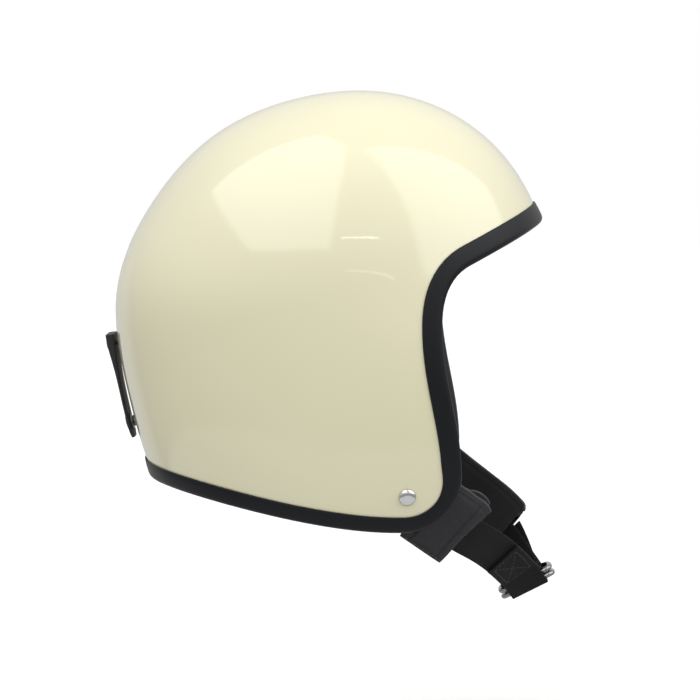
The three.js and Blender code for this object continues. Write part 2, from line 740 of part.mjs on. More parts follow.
function buildGoggleStrap() {
  const hole = backHole(GOGGLE_RIVET, SMALL_SHANK + HOLE_CLEARANCE);
  const end = solid(gogglePath(GOGGLE_TOP, GOGGLE_SPLIT - SPLIT_GAP / 2, 5)).subtract(hole);
  addSolid(goggleGroup, "goggle_strap_end", end, LEATHER);
  const flap = solid(gogglePath(GOGGLE_SPLIT + SPLIT_GAP / 2, GOGGLE_BOTTOM, 18));
  const shank = backHole(GOGGLE_SNAP, SMALL_SHANK + HOLE_CLEARANCE);
  addSolid(goggleGroup, "goggle_strap_flap", flap.subtract(shank), LEATHER);
}

function buildGoggleFasteners() {
  const rivet = backPoint(GOGGLE_RIVET, 0);
  const snap = backPoint(GOGGLE_SNAP, 0);
  const fasteners = [
    ["goggle_rivet", GOGGLE_RIVET_PROFILE, rivet],
    ["goggle_rivet_washer", GOGGLE_WASHER_PROFILE, rivet],
    ["goggle_snap_stud", STUD_PROFILE, snap],
    ["goggle_stud_washer", GOGGLE_WASHER_PROFILE, snap],
    ["goggle_snap_socket", SOCKET_PROFILE, snap],
    ["goggle_snap_cap", SNAP_CAP_PROFILE, snap],
  ];
  for (const [name, profile, { place, out }] of fasteners) {
    add(goggleGroup, name, turned(profile, place, out), STEEL);
  }
}

buildShell();
buildTrim();
buildLiner();
buildPadding();
buildNeckRoll();
for (const [side, name] of [[-1, "right"], [1, "left"]]) {
  buildCheekPad(side, "cheek_pad_" + name);
  buildRivet(side, "chin_rivet_" + name);
  buildRivetWasher(side, "chin_rivet_washer_" + name);
}
buildWebbing(-1, "strap_webbing_right", rightLoop());
buildWebbing(1, "strap_webbing_left", leftFold());
buildCover(-1, "strap_cover_right", RIGHT_COVER_END, 0);
buildCover(1, "strap_cover_left", LEFT_COVER_END, LEFT_COVER_RISE);
buildRings();
buildStrapSnap();
buildGoggleStrap();
buildGoggleFasteners();

export default helmet;
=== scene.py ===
"""Looks of the open face motorcycle helmet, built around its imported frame.

Shapes are worked out in millimetres and written to the meshes in metres. +X is forward, +Y is the wearer's
left, +Z is up, and the origin is the centre of the head cavity.
"""

import math

import bmesh
import bpy
import numpy as np
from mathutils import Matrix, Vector


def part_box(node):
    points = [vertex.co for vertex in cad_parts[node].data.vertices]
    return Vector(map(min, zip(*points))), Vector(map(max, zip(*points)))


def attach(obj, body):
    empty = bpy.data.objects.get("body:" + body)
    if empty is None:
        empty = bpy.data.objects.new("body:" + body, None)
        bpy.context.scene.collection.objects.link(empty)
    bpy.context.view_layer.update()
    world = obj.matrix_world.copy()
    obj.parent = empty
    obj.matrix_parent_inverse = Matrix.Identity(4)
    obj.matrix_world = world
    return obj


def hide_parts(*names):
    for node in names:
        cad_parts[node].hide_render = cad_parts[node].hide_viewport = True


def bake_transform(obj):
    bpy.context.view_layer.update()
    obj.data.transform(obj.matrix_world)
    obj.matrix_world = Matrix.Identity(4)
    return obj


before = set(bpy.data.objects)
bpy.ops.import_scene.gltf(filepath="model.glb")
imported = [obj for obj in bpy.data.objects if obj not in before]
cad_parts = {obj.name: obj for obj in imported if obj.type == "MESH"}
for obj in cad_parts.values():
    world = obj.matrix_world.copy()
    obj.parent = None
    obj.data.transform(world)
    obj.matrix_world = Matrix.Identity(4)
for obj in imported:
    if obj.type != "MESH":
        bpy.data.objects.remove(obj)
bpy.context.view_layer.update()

MM = 0.001

# The shell's egg: control radii of its side outline every 30 degrees from +X towards +Z.
OUTLINE_RADII = np.array([153, 155.2, 141.6, 121, 114, 109, 120.2, 122, 161, 225, 228, 211])
HALF_WIDTH = 115.0
FULLNESS = 0.4
SHELL_WALL = 4.0
OUTSIDE = 260.0
NAPE_CUT = -45.0
BROW_CUT = 60.0
SHELL_DIVISIONS = 64
LINING_DIVISIONS = 40

# The rim: side view of the trim's free edge.
BROW = (170, 56.5)
TEMPLE_TOP = (104, 23.4)
TEMPLE_CORNER = (86.2, 15.1)
TEMPLE_BOTTOM = (86.2, -12)
CHEEK_EASE = ((86.2, -45), (97.6, -70))
JAW_CENTRE = (62.5, -103.4)
JAW_RADIUS = 35.7
SIDE_EASE = ((15, -139.1), (-40, -121.2))
SIDE_END = (-84, -115.3)
NAPE = (-140, -111)
SHELL_EDGE_INSET = 4.0

# The edge trim's section: inset from the free edge, and height on the shell.
TRIM_SECTION = [
    (13, 0.5), (12.9, 0.9), (12.4, 1.15), (9, 1.5), (5.5, 1.75), (3.6, 1.8), (2.2, 1.6), (1.1, 1.0),
    (0.35, 0.1), (0, -1.2), (0, -3), (0.4, -4.9), (1.3, -6.4), (3, -7.2), (6.8, -7.4), (7.05, -7.2),
    (7.05, -6.4), (6.8, -6.2), (1.8, -6.2), (1.5, -5.9), (1.5, 0.2), (1.8, 0.5),
]
TRIM_STATIONS = 260
EDGE_STEPS = 3000
# Where the channel is pulled tight: under the jaw, fully in front and only a little at the back.
TRIM_TIGHTNESS = 0.15
TIGHT_BELOW = -95.0
TIGHT_DROP = 30.0
TIGHT_BACK = -130.0
TIGHT_RUN = 120.0
TIGHT_LEAST = 0.2
LIP_FROM = 8.0

# The lining, as depths below the shell's outer surface.
LINER_TOP = 5.4
LINER_BOTTOM = 26.0
PADDING_TOP = 26.4
PADDING_BOTTOM = 33.0
CHEEK_TOP = 20.0
CHEEK_BOTTOM = 38.0
NECK_ROLL_BOTTOM = 34.0
LINER_INSET = 14.0
NECK_ROLL_HEIGHT = 22.0
NECK_ROLL_FRONT = 8.0
CHEEK_LINE = -40.0
CHEEK_BACK = 10.0
CHEEK_INSET = 7.0
CROWN_LINE = 45.2
EAR_RADIUS = 26.0
GAP = 0.3
SWELL_ROOM = 1.0

# The chin strap's right half: x, distance from the centre plane, z, and the angle of its width.
RIVET = (65.0, -116.0)
STRAP_COURSE = np.array([
    (65, 85, -116, 52), (71.5, 84.4, -121.1, 52), (79, 80, -127, 52), (86, 76.2, -132.4, 52),
    (99, 70.5, -142, 51), (114, 57, -152.5, 48), (125, 41, -163, 42), (133.5, 24, -173.2, 34),
    (137.2, 13, -177.4, 27),
])
STRAP_START = -10.0
WEBBING_WIDTH = 25.0
WEBBING_THICKNESS = 1.6
COVER_WIDTH = 46.0
COVER_THICKNESS = 5.4
# Each cover: its start and end as shares of the strap, its shift across it, and the slant of its end.
RIGHT_COVER = (0.18, 0.515, -0.3, -2.5)
LEFT_COVER = (0.16, 0.74, 3.0, 5.0)
STITCHED = (0.886, 0.72)
TAIL = (0.869, 0.73)
TAIL_DRIFT = 4.5
SNAP_DRIFT = 3.8
SNAP_AT = 0.81
SNAP_RADIUS = 5.5
SNAP_HEIGHT = 2.2
SNAP_BASE_RADIUS = 4.5
SNAP_BASE_HEIGHT = 1.2
LAYER_GAP = 0.5

# The D-rings, in their own frame: X across the webbing, Y to the wearer's left, Z towards the chin.
RING_PLACE = np.array([139.6, 0, -181.4])
RING_TILT = math.radians(27)
RING_WIRE = 1.7
RING_HALF_WIDTH = 17.0
RING_BAR_Y = -11.0
RING_BOW_Y = 12.0
RING_BOW_RADIUS = 12.0
RING_BAR_RADIUS = 4.0
RING_SPACING = 3.8
LOWER_RING_TILT = math.radians(4)
# The webbing's turns: its run past the bar, how far inside the bow it turns, and its run past the bow.
BAR_RUN = 4.0
BOW_INSET = 3.3
BOW_RUN = 3.5

# The goggle strap on the back, as angles about the origin from +X towards +Z.
GOGGLE_WIDTH = 25.0
GOGGLE_TOP = 192.0
GOGGLE_RIVET = 194.8
GOGGLE_SNAP = 217.0
GOGGLE_BOTTOM = 220.7
GOGGLE_LIFT = 1.7
GOGGLE_LOW_LIFT = 1.6
GOGGLE_LIFT_REACH = 0.45
GOGGLE_THIN = 1.8
GOGGLE_THICK_TOP = 3.4
GOGGLE_THICK_REACH = 0.3

GOGGLE_SPLIT = 197.5
GOGGLE_BEND = 2.2
GOGGLE_ROUND_FROM = 0.9
GOGGLE_ROUNDING = 0.45
SEAM_INSET = 2.6
GROOVE_DEPTH = 0.35
GOGGLE_CORNER = 0.7

# Fastener profiles, as radius and height. Those of the goggle strap are measured from the shell's surface.
RIVET_HEAD = [
    (0, 0.3), (4.9, 0.3), (5.2, 0.5), (5.2, 1.0), (5.0, 1.35), (4.6, 1.75), (4.0, 2.15), (3.2, 2.45),
    (2.2, 2.62), (1.1, 2.69), (0, 2.7),
]
SHANK_RADIUS = 3.0
SHANK_LENGTH = 26.0
RIVET_SHANK = [
    (0, 0), (2.4, 0), (3.4, 0.2), (4.0, 0.6), (4.2, 1.1), (3.0, 1.3), (3.0, 6.0), (5.0, 6.0), (5.0, 10.0),
    (3.0, 10.2), (3.0, 25.0), (0, 25.0),
]
GOGGLE_RIVET_PROFILE = [
    (0, -7.4), (1.6, -7.4), (1.6, 6.9), (4.0, 6.9), (4.2, 7.05), (4.1, 7.3), (3.6, 7.65), (2.8, 7.9),
    (1.6, 8.05), (0, 8.1),
]
STUD_PROFILE = [
    (0, -6.6), (1.6, -6.6), (1.6, 0.3), (3.5, 0.3), (3.6, 0.4), (3.6, 1.2), (3.2, 2.0), (3.0, 2.2),
    (1.5, 2.2), (1.4, 2.45), (1.5, 2.8), (1.4, 3.05), (1.1, 3.1), (0, 3.1),
]
SNAP_CAP_PROFILE = [
    (0, 3.4), (1.6, 3.4), (1.6, 5.4), (5.2, 5.4), (5.4, 5.55), (5.35, 5.8), (5.0, 6.15), (4.2, 6.4),
    (2.8, 6.6), (1.4, 6.68), (0, 6.7),
]
SOCKET_PROFILE = [
    (1.9, 2.6), (2.1, 2.5), (4.8, 2.5), (5.0, 2.6), (5.0, 2.9), (4.8, 3.0), (2.1, 3.0), (1.9, 2.9),
    (1.9, 2.6),
]
GOGGLE_WASHER_PROFILE = [
    (1.9, -5.8), (2.1, -5.9), (4.8, -5.9), (5.0, -5.8), (5.0, -5.0), (4.8, -4.9), (2.1, -4.9), (1.9, -5.0),
    (1.9, -5.8),
]

# How the padding is softened, swollen and sewn.
PAD_VOXEL = 5.0
CHEEK_VOXEL = 4.0
BACK_DEPTH = 2.5
CLOTH_PRESSURE = 4.0
CLOTH_FRAMES = 20
CLOTH_CAP = 4.0
CROWN_RAIL = 24.0
CROWN_BAR_X = -8.0
CROWN_BAR = 46.0
BAND_PANELS = 12
BAND_SEAM_Z = 6.0
ROLL_PANEL = 42.0
CHEEK_SEAM = 13.0
COVER_SEAM = 3.2
COVER_RIM = 5.0
SLOT_HALF = 1.5
SEAM_WIDTH = 0.8
HEM = 6.0
HEM_EASE = (0.32, 1.6)
HEM_CREASE = 0.42
END_CURVE = 1.6
END_REACH = 22.0
CORNER_REACH = 9.0
CORNER_CUT = 3.0
BACKING_START = 0.39
BACKING_LOW = 14.0
BACKING_END = 0.52
BACKING_RISE = 2.6
BACKING_FROM = 0.15
BACKING_GAP = 1.1
BACKING_HALF = 0.7
PIPING_RADIUS = 1.1
TONGUE_PIPING_RADIUS = 0.9
# Stitches: pitch, length and the thread's radius.
LEATHER_STITCH = (3.4, 2.3, 0.3)
WEBBING_STITCH = (2.6, 1.9, 0.28)
BOX_INSET = 3.5
WEBBING_RIB = 1.1
WEBBING_ROW = 0.9

# The camera: where it aims, how far back it stands, and its angles.
AIM = Vector((0.028, 0, -0.036))
CAMERA_DISTANCE = 2.0
CAMERA_AZIMUTH = 1.5
CAMERA_ELEVATION = 5.0
SENSOR = 36.0
VIEW_WIDTH = 0.441
FLOOR_Z = -0.30
FLOOR_HALF_SIZE = 6.0

# The studio's light. Each soft box has a strength, a softness and its corners' azimuths and elevations as
# the helmet sees them, where azimuth 0 is the camera's side.
ROOM_FADE = (-0.20, 0.40)
ROOM_LIGHT = (0.35, 0.74)
FLOOR_FADE = (-0.44, -0.36)
FLOOR_LIGHT = 0.70
BACKDROP_FADE = (0.35, 0.8)
BACKDROP_LIGHT = 0.66
SOFT_BOXES = [
    (1.35, 0.03, [(3, 14), (5, 84), (-140, 75), (-102, 42), (-28, 19)]),
    (1.35, 0.05, [(34, 7), (98, 8), (112, 32), (100, 62), (42, 80)]),
    (4.0, 0.004, [(6.5, 18.0), (19, 17.4), (19, 18.2), (6.5, 18.8)]),
    (1.4, 0.003, [(8, 5.2), (22, 4.4), (22, 5.0), (8, 5.8)]),
]


# ---- Surface of the shell ----


def outline_radius(angle):
    turns = np.mod(np.asarray(angle) / (math.pi / 6), 12)
    first = np.floor(turns).astype(int)
    t = turns - first
    r = [OUTLINE_RADII[(first + k) % 12] for k in (-1, 0, 1, 2)]
    weights = [(1 - t) ** 3, 3 * t**3 - 6 * t**2 + 4, 1 + 3 * t + 3 * t**2 - 3 * t**3, t**3]
    return sum(w * radius for w, radius in zip(weights, r)) / 6


def half_width(x, z):
    q2 = (x * x + z * z) / outline_radius(np.arctan2(z, x)) ** 2
    return HALF_WIDTH * np.sqrt(np.clip((1 - q2) * (1 + FULLNESS * q2), 0, None))


def level(points, depth=0.0):
    """Zero on the egg at one depth below the shell's outer surface, and rising outwards."""
    x, y, z = np.moveaxis(points, -1, 0)
    q2 = (x * x + z * z) / (outline_radius(np.arctan2(z, x)) - depth) ** 2
    return (y / (HALF_WIDTH - depth)) ** 2 - (1 - q2) * (1 + FULLNESS * q2)


def slope(points, depth=0.0):
    step = 0.01
    result = np.empty_like(points)
    for axis in range(3):
        shift = np.zeros(3)
        shift[axis] = step
        rise = level(points + shift, depth) - level(points - shift, depth)
        result[..., axis] = rise / (2 * step)
    return result


def unit(vectors):
    return vectors / np.linalg.norm(vectors, axis=-1, keepdims=True)


def shell_normal(points):
    return unit(slope(points))


def settle(points, depth=0.0):
    """Moves nearby points onto the egg at one depth."""
    for _ in range(5):
        rise = slope(points, depth)
        points = points - rise * (level(points, depth) / (rise**2).sum(-1))[..., None]
    return points


def outward_points(directions, depth):
    """Where rays from the origin meet the egg at one depth."""
    x, y, z = np.moveaxis(directions, -1, 0)
    a = (x * x + z * z) / (outline_radius(np.arctan2(z, x)) - depth) ** 2
    a = np.maximum(a, 1e-9)
    b = (1 - FULLNESS) * a + (y / (HALF_WIDTH - depth)) ** 2
    square = (-b + np.sqrt(b * b + 4 * FULLNESS * a * a)) / (2 * FULLNESS * a * a)
    return directions * np.sqrt(square)[..., None]


# ---- The rim ----


def bezier(points, count):
    t = np.linspace(0, 1, count, endpoint=False)[:, None]
    order = len(points) - 1
    return sum(math.comb(order, k) * (1 - t) ** (order - k) * t**k * np.array(p, float)
               for k, p in enumerate(points))


def full_turn(count):
    """Evenly spaced angles round a circle."""
    return np.linspace(0, 2 * math.pi, count, endpoint=False)


def on_circle(angles):
    return np.stack([np.cos(angles), np.sin(angles)], -1)


def circle_between(u, v, count):
    """Points of a unit circle spanned by two directions."""
    turns = full_turn(count)[:, None]
    return np.cos(turns) * u + np.sin(turns) * v


def fading(distance, width):
    """One on a line, and less away from it."""
    return np.exp(-((distance / width) ** 2))


def reach_along(points):
    """Each point's distance along its line."""
    return np.concatenate([[0], np.cumsum(np.linalg.norm(np.diff(points, axis=0), axis=1))])


def evenly(points, count, closed=False):
    """The same line with evenly spaced points."""
    if closed:
        points = np.vstack([points, points[:1]])
    reach = reach_along(points)
    stops = np.linspace(0, reach[-1], count + 1 if closed else count)
    line = np.stack([np.interp(stops, reach, points[:, k]) for k in range(points.shape[1])], -1)
    return line[:-1] if closed else line


def draw_rim():
    jaw_start = (JAW_CENTRE[0] + JAW_RADIUS, JAW_CENTRE[1])
    jaw_end = (JAW_CENTRE[0], JAW_CENTRE[1] - JAW_RADIUS)
    turn = np.linspace(0, -math.pi / 2, 60, endpoint=False)
    arc = np.array(JAW_CENTRE) + JAW_RADIUS * on_circle(turn)
    line = np.vstack([
        bezier([BROW, TEMPLE_TOP], 60),
        bezier([TEMPLE_TOP, TEMPLE_CORNER, TEMPLE_BOTTOM], 60),
        bezier([TEMPLE_BOTTOM, *CHEEK_EASE, jaw_start], 80),
        arc,
        bezier([jaw_end, *SIDE_EASE, SIDE_END], 100),
        bezier([SIDE_END, NAPE], 40),
        [NAPE],
    ])
    return evenly(line, 600)


RIM = draw_rim()


def rim_line(inset, rise=0.0):
    """The rim's side view moved into the shell by an inset, from brow to nape."""
    tangent = unit(np.gradient(RIM, axis=0))
    inward = np.stack([tangent[:, 1], -tangent[:, 0]], -1)
    return evenly(RIM + inset * inward, 300) + (0, rise)


def edge_loop():
    """Points round the free edge in space: down the right side from brow to nape, and back on the left."""
    inside = np.hypot(*RIM.T) < outline_radius(np.arctan2(RIM[:, 1], RIM[:, 0]))
    first, last = np.flatnonzero(inside)[[0, -1]]
    ends = [crossing(RIM[first - 1], RIM[first]), crossing(RIM[last + 1], RIM[last])]
    reach = np.vstack([ends[0], RIM[first:last + 1], ends[1]])
    even = evenly(reach, EDGE_STEPS)
    places = (EDGE_STEPS - 1) * (0.5 - 0.5 * np.cos(np.linspace(0, math.pi, EDGE_STEPS)))
    side = np.stack([np.interp(places, np.arange(EDGE_STEPS), even[:, k]) for k in (0, 1)], -1)
    y = -half_width(side[:, 0], side[:, 1])
    y[[0, -1]] = 0
    right = np.stack([side[:, 0], y, side[:, 1]], -1)
    left = right[1:-1][::-1] * (1, -1, 1)
    return evenly(np.vstack([right, left]), TRIM_STATIONS, closed=True)


def crossing(outside, inside):
    """Where the rim passes through the centre plane's outline, between two of its points."""
    for _ in range(40):
        middle = (outside + inside) / 2
        if np.hypot(*middle) >= outline_radius(math.atan2(middle[1], middle[0])):
            outside = middle
        else:
            inside = middle
    return inside


EDGE = edge_loop()


def rim_points(section):
    """Loops round the rim, one for each inset and height of a section.

    The channel is pulled tight under the jaw, where its outer lip comes out narrower.
    """
    along = unit(np.roll(EDGE, -1, axis=0) - np.roll(EDGE, 1, axis=0))
    inward = unit(np.cross(along, shell_normal(EDGE)))
    section = np.array(section, float)
    tight = np.clip((TIGHT_BELOW - EDGE[:, 2]) / TIGHT_DROP, 0, 1)
    tight = tight * np.clip((EDGE[:, 0] - TIGHT_BACK) / TIGHT_RUN, TIGHT_LEAST, 1)
    insets = section[None, :, 0] * (1 - TRIM_TIGHTNESS * tight[:, None] * (section[None, :, 0] > LIP_FROM))
    places = settle(EDGE[:, None] + insets[..., None] * inward[:, None])
    return places + section[None, :, 1:] * shell_normal(places)


# ---- Meshes ----


def make_piece(name, points, faces, *materials, uvs=None):
    """A smooth shaded mesh of points in millimetres. uvs holds one pair for each face corner."""
    mesh = bpy.data.meshes.new(name)
    mesh.from_pydata((np.asarray(points, float).reshape(-1, 3) * MM).tolist(), [], faces)
    mesh.shade_smooth()
    if uvs is not None:
        strip = mesh.uv_layers.new(name="Strip")
        strip.data.foreach_set("uv", np.asarray(uvs, np.float32).ravel())
    piece = bpy.data.objects.new(name, mesh)
    bpy.context.scene.collection.objects.link(piece)
    for material in materials:
        mesh.materials.append(material)
    return piece


def clean(piece, merge=0.0, sharp=None):
    """Merges doubled points, turns the faces out, and marks edges sharper than an angle in degrees."""
    work = bmesh.new()
    work.from_mesh(piece.data)
    if merge:
        bmesh.ops.remove_doubles(work, verts=work.verts, dist=merge)
    bmesh.ops.recalc_face_normals(work, faces=work.faces)
    work.to_mesh(piece.data)
    work.free()
    if sharp is not None:
        piece.data.set_sharp_from_angle(angle=math.radians(sharp))
    return piece


def skin(count, size, joined=False):
    """Faces of equal rings of points, which join end to end or have their two ends closed flat."""
    faces = []
    for i in range(count if joined else count - 1):
        ahead = ((i + 1) % count) * size
        for j in range(size):
            k = (j + 1) % size
            faces.append((i * size + j, i * size + k, ahead + k, ahead + j))
    if not joined:
        faces.append(tuple(range(size))[::-1])
        faces.append(tuple((count - 1) * size + j for j in range(size)))
    return faces


def loft(name, rings, material, joined=False, sharp=None):
    """Skins rings of points, with the distances round and along them as the strip's coordinates."""
    rings = np.asarray(rings, float)
    count, size = rings.shape[:2]
    reach = reach_along(rings.mean(1))
    around = reach_along(np.vstack([rings[0], rings[0][:1]]))
    reach = np.append(reach, reach[-1] + reach[-1] / count)
    uvs = []
    for i in range(count if joined else count - 1):
        for j in range(size):
            corners = ((j, i), (j + 1, i), (j + 1, i + 1), (j, i + 1))
            uvs.extend((around[u], reach[v]) for u, v in corners)
    if not joined:
        uvs.extend([(0, 0)] * (2 * size))
    piece = make_piece(name, rings, skin(count, size, joined), material, uvs=np.array(uvs) * MM)
    return clean(piece, sharp=sharp)


def turned(name, profile, place, direction, material, segments=48):
    """A lathe profile of radius and height, turned about the line from a place along a direction."""
    profile = np.array(profile, float)
    direction = unit(np.array(direction, float))
    side = unit(np.cross(direction, (0.3, 0.9, 0.2)))
    other = np.cross(direction, side)
    rounds = circle_between(side, other, segments)
    points = profile[:, None, :1] * rounds + profile[:, None, 1:] * direction + np.array(place)
    closed = np.allclose(profile[0], profile[-1])
    rings = points[:-1] if closed else points
    piece = loft(name, rings, material, joined=closed)
    return clean(piece, merge=1e-6, sharp=35)


def cube_sphere(divisions):
    """Directions and quad faces of a sphere made of six square grids."""
    ticks = np.tan(np.linspace(-math.pi / 4, math.pi / 4, divisions + 1))
    u, v = np.meshgrid(ticks, ticks, indexing="ij")
    w = np.ones_like(u)
    sides = [(w, u, v), (-w, v, u), (v, w, u), (u, -w, v), (u, v, w), (v, u, -w)]
    directions = []
    faces = []
    for side in sides:
        base = len(directions) * (divisions + 1) ** 2
        directions.append(np.stack(side, -1).reshape(-1, 3))
        for i in range(divisions):
            for j in range(divisions):
                a = base + i * (divisions + 1) + j
                faces.append((a, a + divisions + 1, a + divisions + 2, a + 1))
    return unit(np.vstack(directions)), faces


def layer(name, top, bottom, outline, divisions, *materials):
    """The space between two depths of the egg, cut to a side-view outline."""
    directions, faces = cube_sphere(divisions)
    outer = outward_points(directions, top)
    inner = outward_points(directions, bottom)
    count = len(directions)
    inside_out = [tuple(count + i for i in face[::-1]) for face in faces]
    body = make_piece(name, np.vstack([outer, inner]), faces + inside_out, *materials)
    work = bmesh.new()
    work.from_mesh(body.data)
    bmesh.ops.remove_doubles(work, verts=work.verts, dist=1e-6)
    work.to_mesh(body.data)
    work.free()
    cut(body, prism(outline))
    return body


def prism(outline, low=-OUTSIDE, high=OUTSIDE):
    """A side-view outline of x and z, made solid from one y to another."""
    outline = np.asarray(outline, float)
    count = len(outline)
    points = [np.insert(outline, 1, y, axis=1) for y in (low, high)]
    faces = [tuple(range(count)), tuple(range(2 * count - 1, count - 1, -1))]
    faces += [(i, (i + 1) % count, count + (i + 1) % count, count + i) for i in range(count)]
    return clean(make_piece("cutter", np.vstack(points), faces))


def cut(piece, cutter):
    """Keeps the part of a piece that is inside a cutter."""
    modifier = piece.modifiers.new("cut", "BOOLEAN")
    modifier.operation = "INTERSECT"
    modifier.solver = "EXACT"
    modifier.object = cutter
    apply_modifiers(piece)
    bpy.data.objects.remove(cutter)


def apply_modifiers(piece):
    depsgraph = bpy.context.evaluated_depsgraph_get()
    made = bpy.data.meshes.new_from_object(piece.evaluated_get(depsgraph))
    piece.modifiers.clear()
    old = piece.data
    piece.data = made
    bpy.data.meshes.remove(old)


def join(name, pieces):
    """One piece made of several."""
    with bpy.context.temp_override(active_object=pieces[0], selected_editable_objects=pieces):
        bpy.ops.object.join()
    pieces[0].name = name
    pieces[0].data.name = name
    return pieces[0]


def set_panel(piece, inside):
    """Gives the faces whose centres pass a test the piece's second material."""
    centres = np.array([polygon.center[:] for polygon in piece.data.polygons]) / MM
    piece.data.polygons.foreach_set("material_index", inside(centres).astype(np.int32))


def belong(piece, body, slot, *nodes):
    """Says which body carries a piece and hides the CAD nodes that it replaces. Its slot argument is not
    used.
    """
    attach(piece, body)
    if nodes:
        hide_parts(*nodes)


# ---- Side-view outlines ----


def below(outline, height):
    """The part of an outline below a height."""
    kept = []
    for a, b in zip(outline, np.roll(outline, -1, axis=0)):
        da, db = height - a[1], height - b[1]
        if da >= 0:
            kept.append(a)
        if da * db < 0:
            kept.append(a + (b - a) * da / (da - db))
    return np.array(kept)


def over_the_top(inset):
    """Corners that close a rim line outside the shell, from the nape to the brow."""
    return [(-OUTSIDE, NAPE_CUT), (-OUTSIDE, OUTSIDE), (OUTSIDE, OUTSIDE), (OUTSIDE, BROW_CUT + inset)]


def all_above(height):
    """A side-view outline that holds everything above a height."""
    return [(-OUTSIDE, height), (OUTSIDE, height), (OUTSIDE, OUTSIDE), (-OUTSIDE, OUTSIDE)]


def shell_outline(inset):
    return np.vstack([rim_line(inset), over_the_top(inset)])


def upper_outline():
    """The upper lining: above the cheek pads in front, and above the neck roll behind."""
    front = rim_line(LINER_INSET)
    front = front[:np.argmax(front[:, 1] < CHEEK_LINE)]
    back = rim_line(LINER_INSET, NECK_ROLL_HEIGHT + GAP)
    behind_front = back[:, 0] < NECK_ROLL_FRONT
    back = back[np.argmax(behind_front & (back[:, 1] < CHEEK_LINE)):]
    step = [(front[-1, 0], CHEEK_LINE), (NECK_ROLL_FRONT, CHEEK_LINE), (NECK_ROLL_FRONT, back[0, 1])]
    return np.vstack([front, step, back, over_the_top(LINER_INSET)])


def neck_roll_outline():
    low = rim_line(LINER_INSET)
    low = low[np.argmax((low[:, 0] < NECK_ROLL_FRONT) & (low[:, 1] < CHEEK_LINE)):]
    high = low[::-1] + (0, NECK_ROLL_HEIGHT)
    return np.vstack([low, high])


def cheek_outline():
    line = rim_line(CHEEK_INSET)
    top = CHEEK_LINE - GAP
    line = line[np.argmax(line[:, 1] < top):]
    line = line[:np.argmax(line[:, 0] < CHEEK_BACK)]
    turn = np.linspace(-math.pi / 2, 0, 16)
    ear = np.array([CHEEK_BACK, CHEEK_LINE]) + EAR_RADIUS * on_circle(turn)
    ear = ear[ear[:, 1] < top]
    return np.vstack([[(line[0, 0], top)], line, [(CHEEK_BACK, line[-1, 1])], ear, [(ear[-1, 0], top)]])


# ---- Materials ----


def new_material(name, color, roughness, **sockets):
    material = bpy.data.materials.new(name)
    material.use_nodes = True
    shader = material.node_tree.nodes["Principled BSDF"]
    shader.inputs["Base Color"].default_value = (*color, 1)
    shader.inputs["Roughness"].default_value = roughness
    for socket, value in sockets.items():
        shader.inputs[socket.replace("_", " ")].default_value = value
    return material


def add_node(owner, kind, settings=None, *inputs, **named):
    """A node of a material or the world. Its inputs, in order or by name, are set or linked."""
    tree = owner.node_tree
    made = tree.nodes.new(kind)
    for key, value in (settings or {}).items():
        setattr(made, key, value)
    sockets = list(zip(made.inputs, inputs))
    sockets += [(made.inputs[key.replace("_", " ")], value) for key, value in named.items()]
    for socket, value in sockets:
        if isinstance(value, bpy.types.NodeSocket):
            tree.links.new(value, socket)
        else:
            socket.default_value = value
    return made


def place_texture(material, kind, scale, source="Object", settings=None, **inputs):
    """A texture node read in object space, or along a strip."""
    if source == "Strip":
        place = add_node(material, "ShaderNodeUVMap", {"uv_map": "Strip"}).outputs[0]
    else:
        place = add_node(material, "ShaderNodeTexCoord").outputs[source]
    return add_node(material, kind, settings, Vector=place, Scale=scale, **inputs)


def noise(material, scale, detail, source="Object", **inputs):
    return place_texture(material, "ShaderNodeTexNoise", scale, source, Detail=detail, **inputs).outputs[0]


def ramp(owner, factor, low, high, start=0.0, end=1.0, kind="LINEAR"):
    """Maps a factor from one range to another."""
    settings = {"interpolation_type": kind}
    return add_node(owner, "ShaderNodeMapRange", settings, factor, start, end, low, high).outputs[0]


def calculate(owner, operation, *inputs):
    return add_node(owner, "ShaderNodeMath", {"operation": operation}, *inputs).outputs[0]


def vary_color(material, factor, low, high):
    """Mixes the base colour between two colours."""
    made = add_node(material, "ShaderNodeMix", {"data_type": "RGBA"}, Factor=factor)
    made.inputs[6].default_value = (*low, 1)
    made.inputs[7].default_value = (*high, 1)
    link(material, made.outputs[2], "Base Color")


def link(material, output, socket):
    tree = material.node_tree
    tree.links.new(output, tree.nodes["Principled BSDF"].inputs[socket])


def bump(material, height, distance, strength=1.0, socket="Normal"):
    made = add_node(material, "ShaderNodeBump", Height=height, Distance=distance, Strength=strength)
    link(material, made.outputs[0], socket)


def paint_material():
    material = new_material("cream_paint", (0.812, 0.772, 0.53), 0.42, Coat_Weight=1.0, Coat_Roughness=0.02,
                            Coat_IOR=1.65)
    tone = noise(material, 9, 2.0)
    vary_color(material, tone, (0.797, 0.757, 0.515), (0.827, 0.787, 0.545))
    peel = noise(material, 420, 1.0)
    bump(material, peel, 0.00002, 0.35, "Coat Normal")
    flow = noise(material, 1600, 2.0)
    link(material, ramp(material, flow, 0.38, 0.46), "Roughness")
    return material


def glass_fibre_material():
    material = new_material("bare_shell", (0.05, 0.05, 0.05), 0.6)
    strands = noise(material, 260, 6.0, Distortion=2.5)
    vary_color(material, strands, (0.03, 0.03, 0.032), (0.10, 0.10, 0.095))
    bump(material, strands, 0.0004, 0.6)
    return material


def rubber_material():
    material = new_material("black_trim", (0.012, 0.014, 0.016), 0.38, Specular_IOR_Level=0.25)
    cloud = noise(material, 28, 4.0)
    vary_color(material, cloud, (0.0045, 0.005, 0.007), (0.008, 0.009, 0.012))
    grain = noise(material, 2600, 3.0)
    link(material, ramp(material, grain, 0.36, 0.5), "Roughness")
    bump(material, grain, 0.00006, 0.5)
    return material


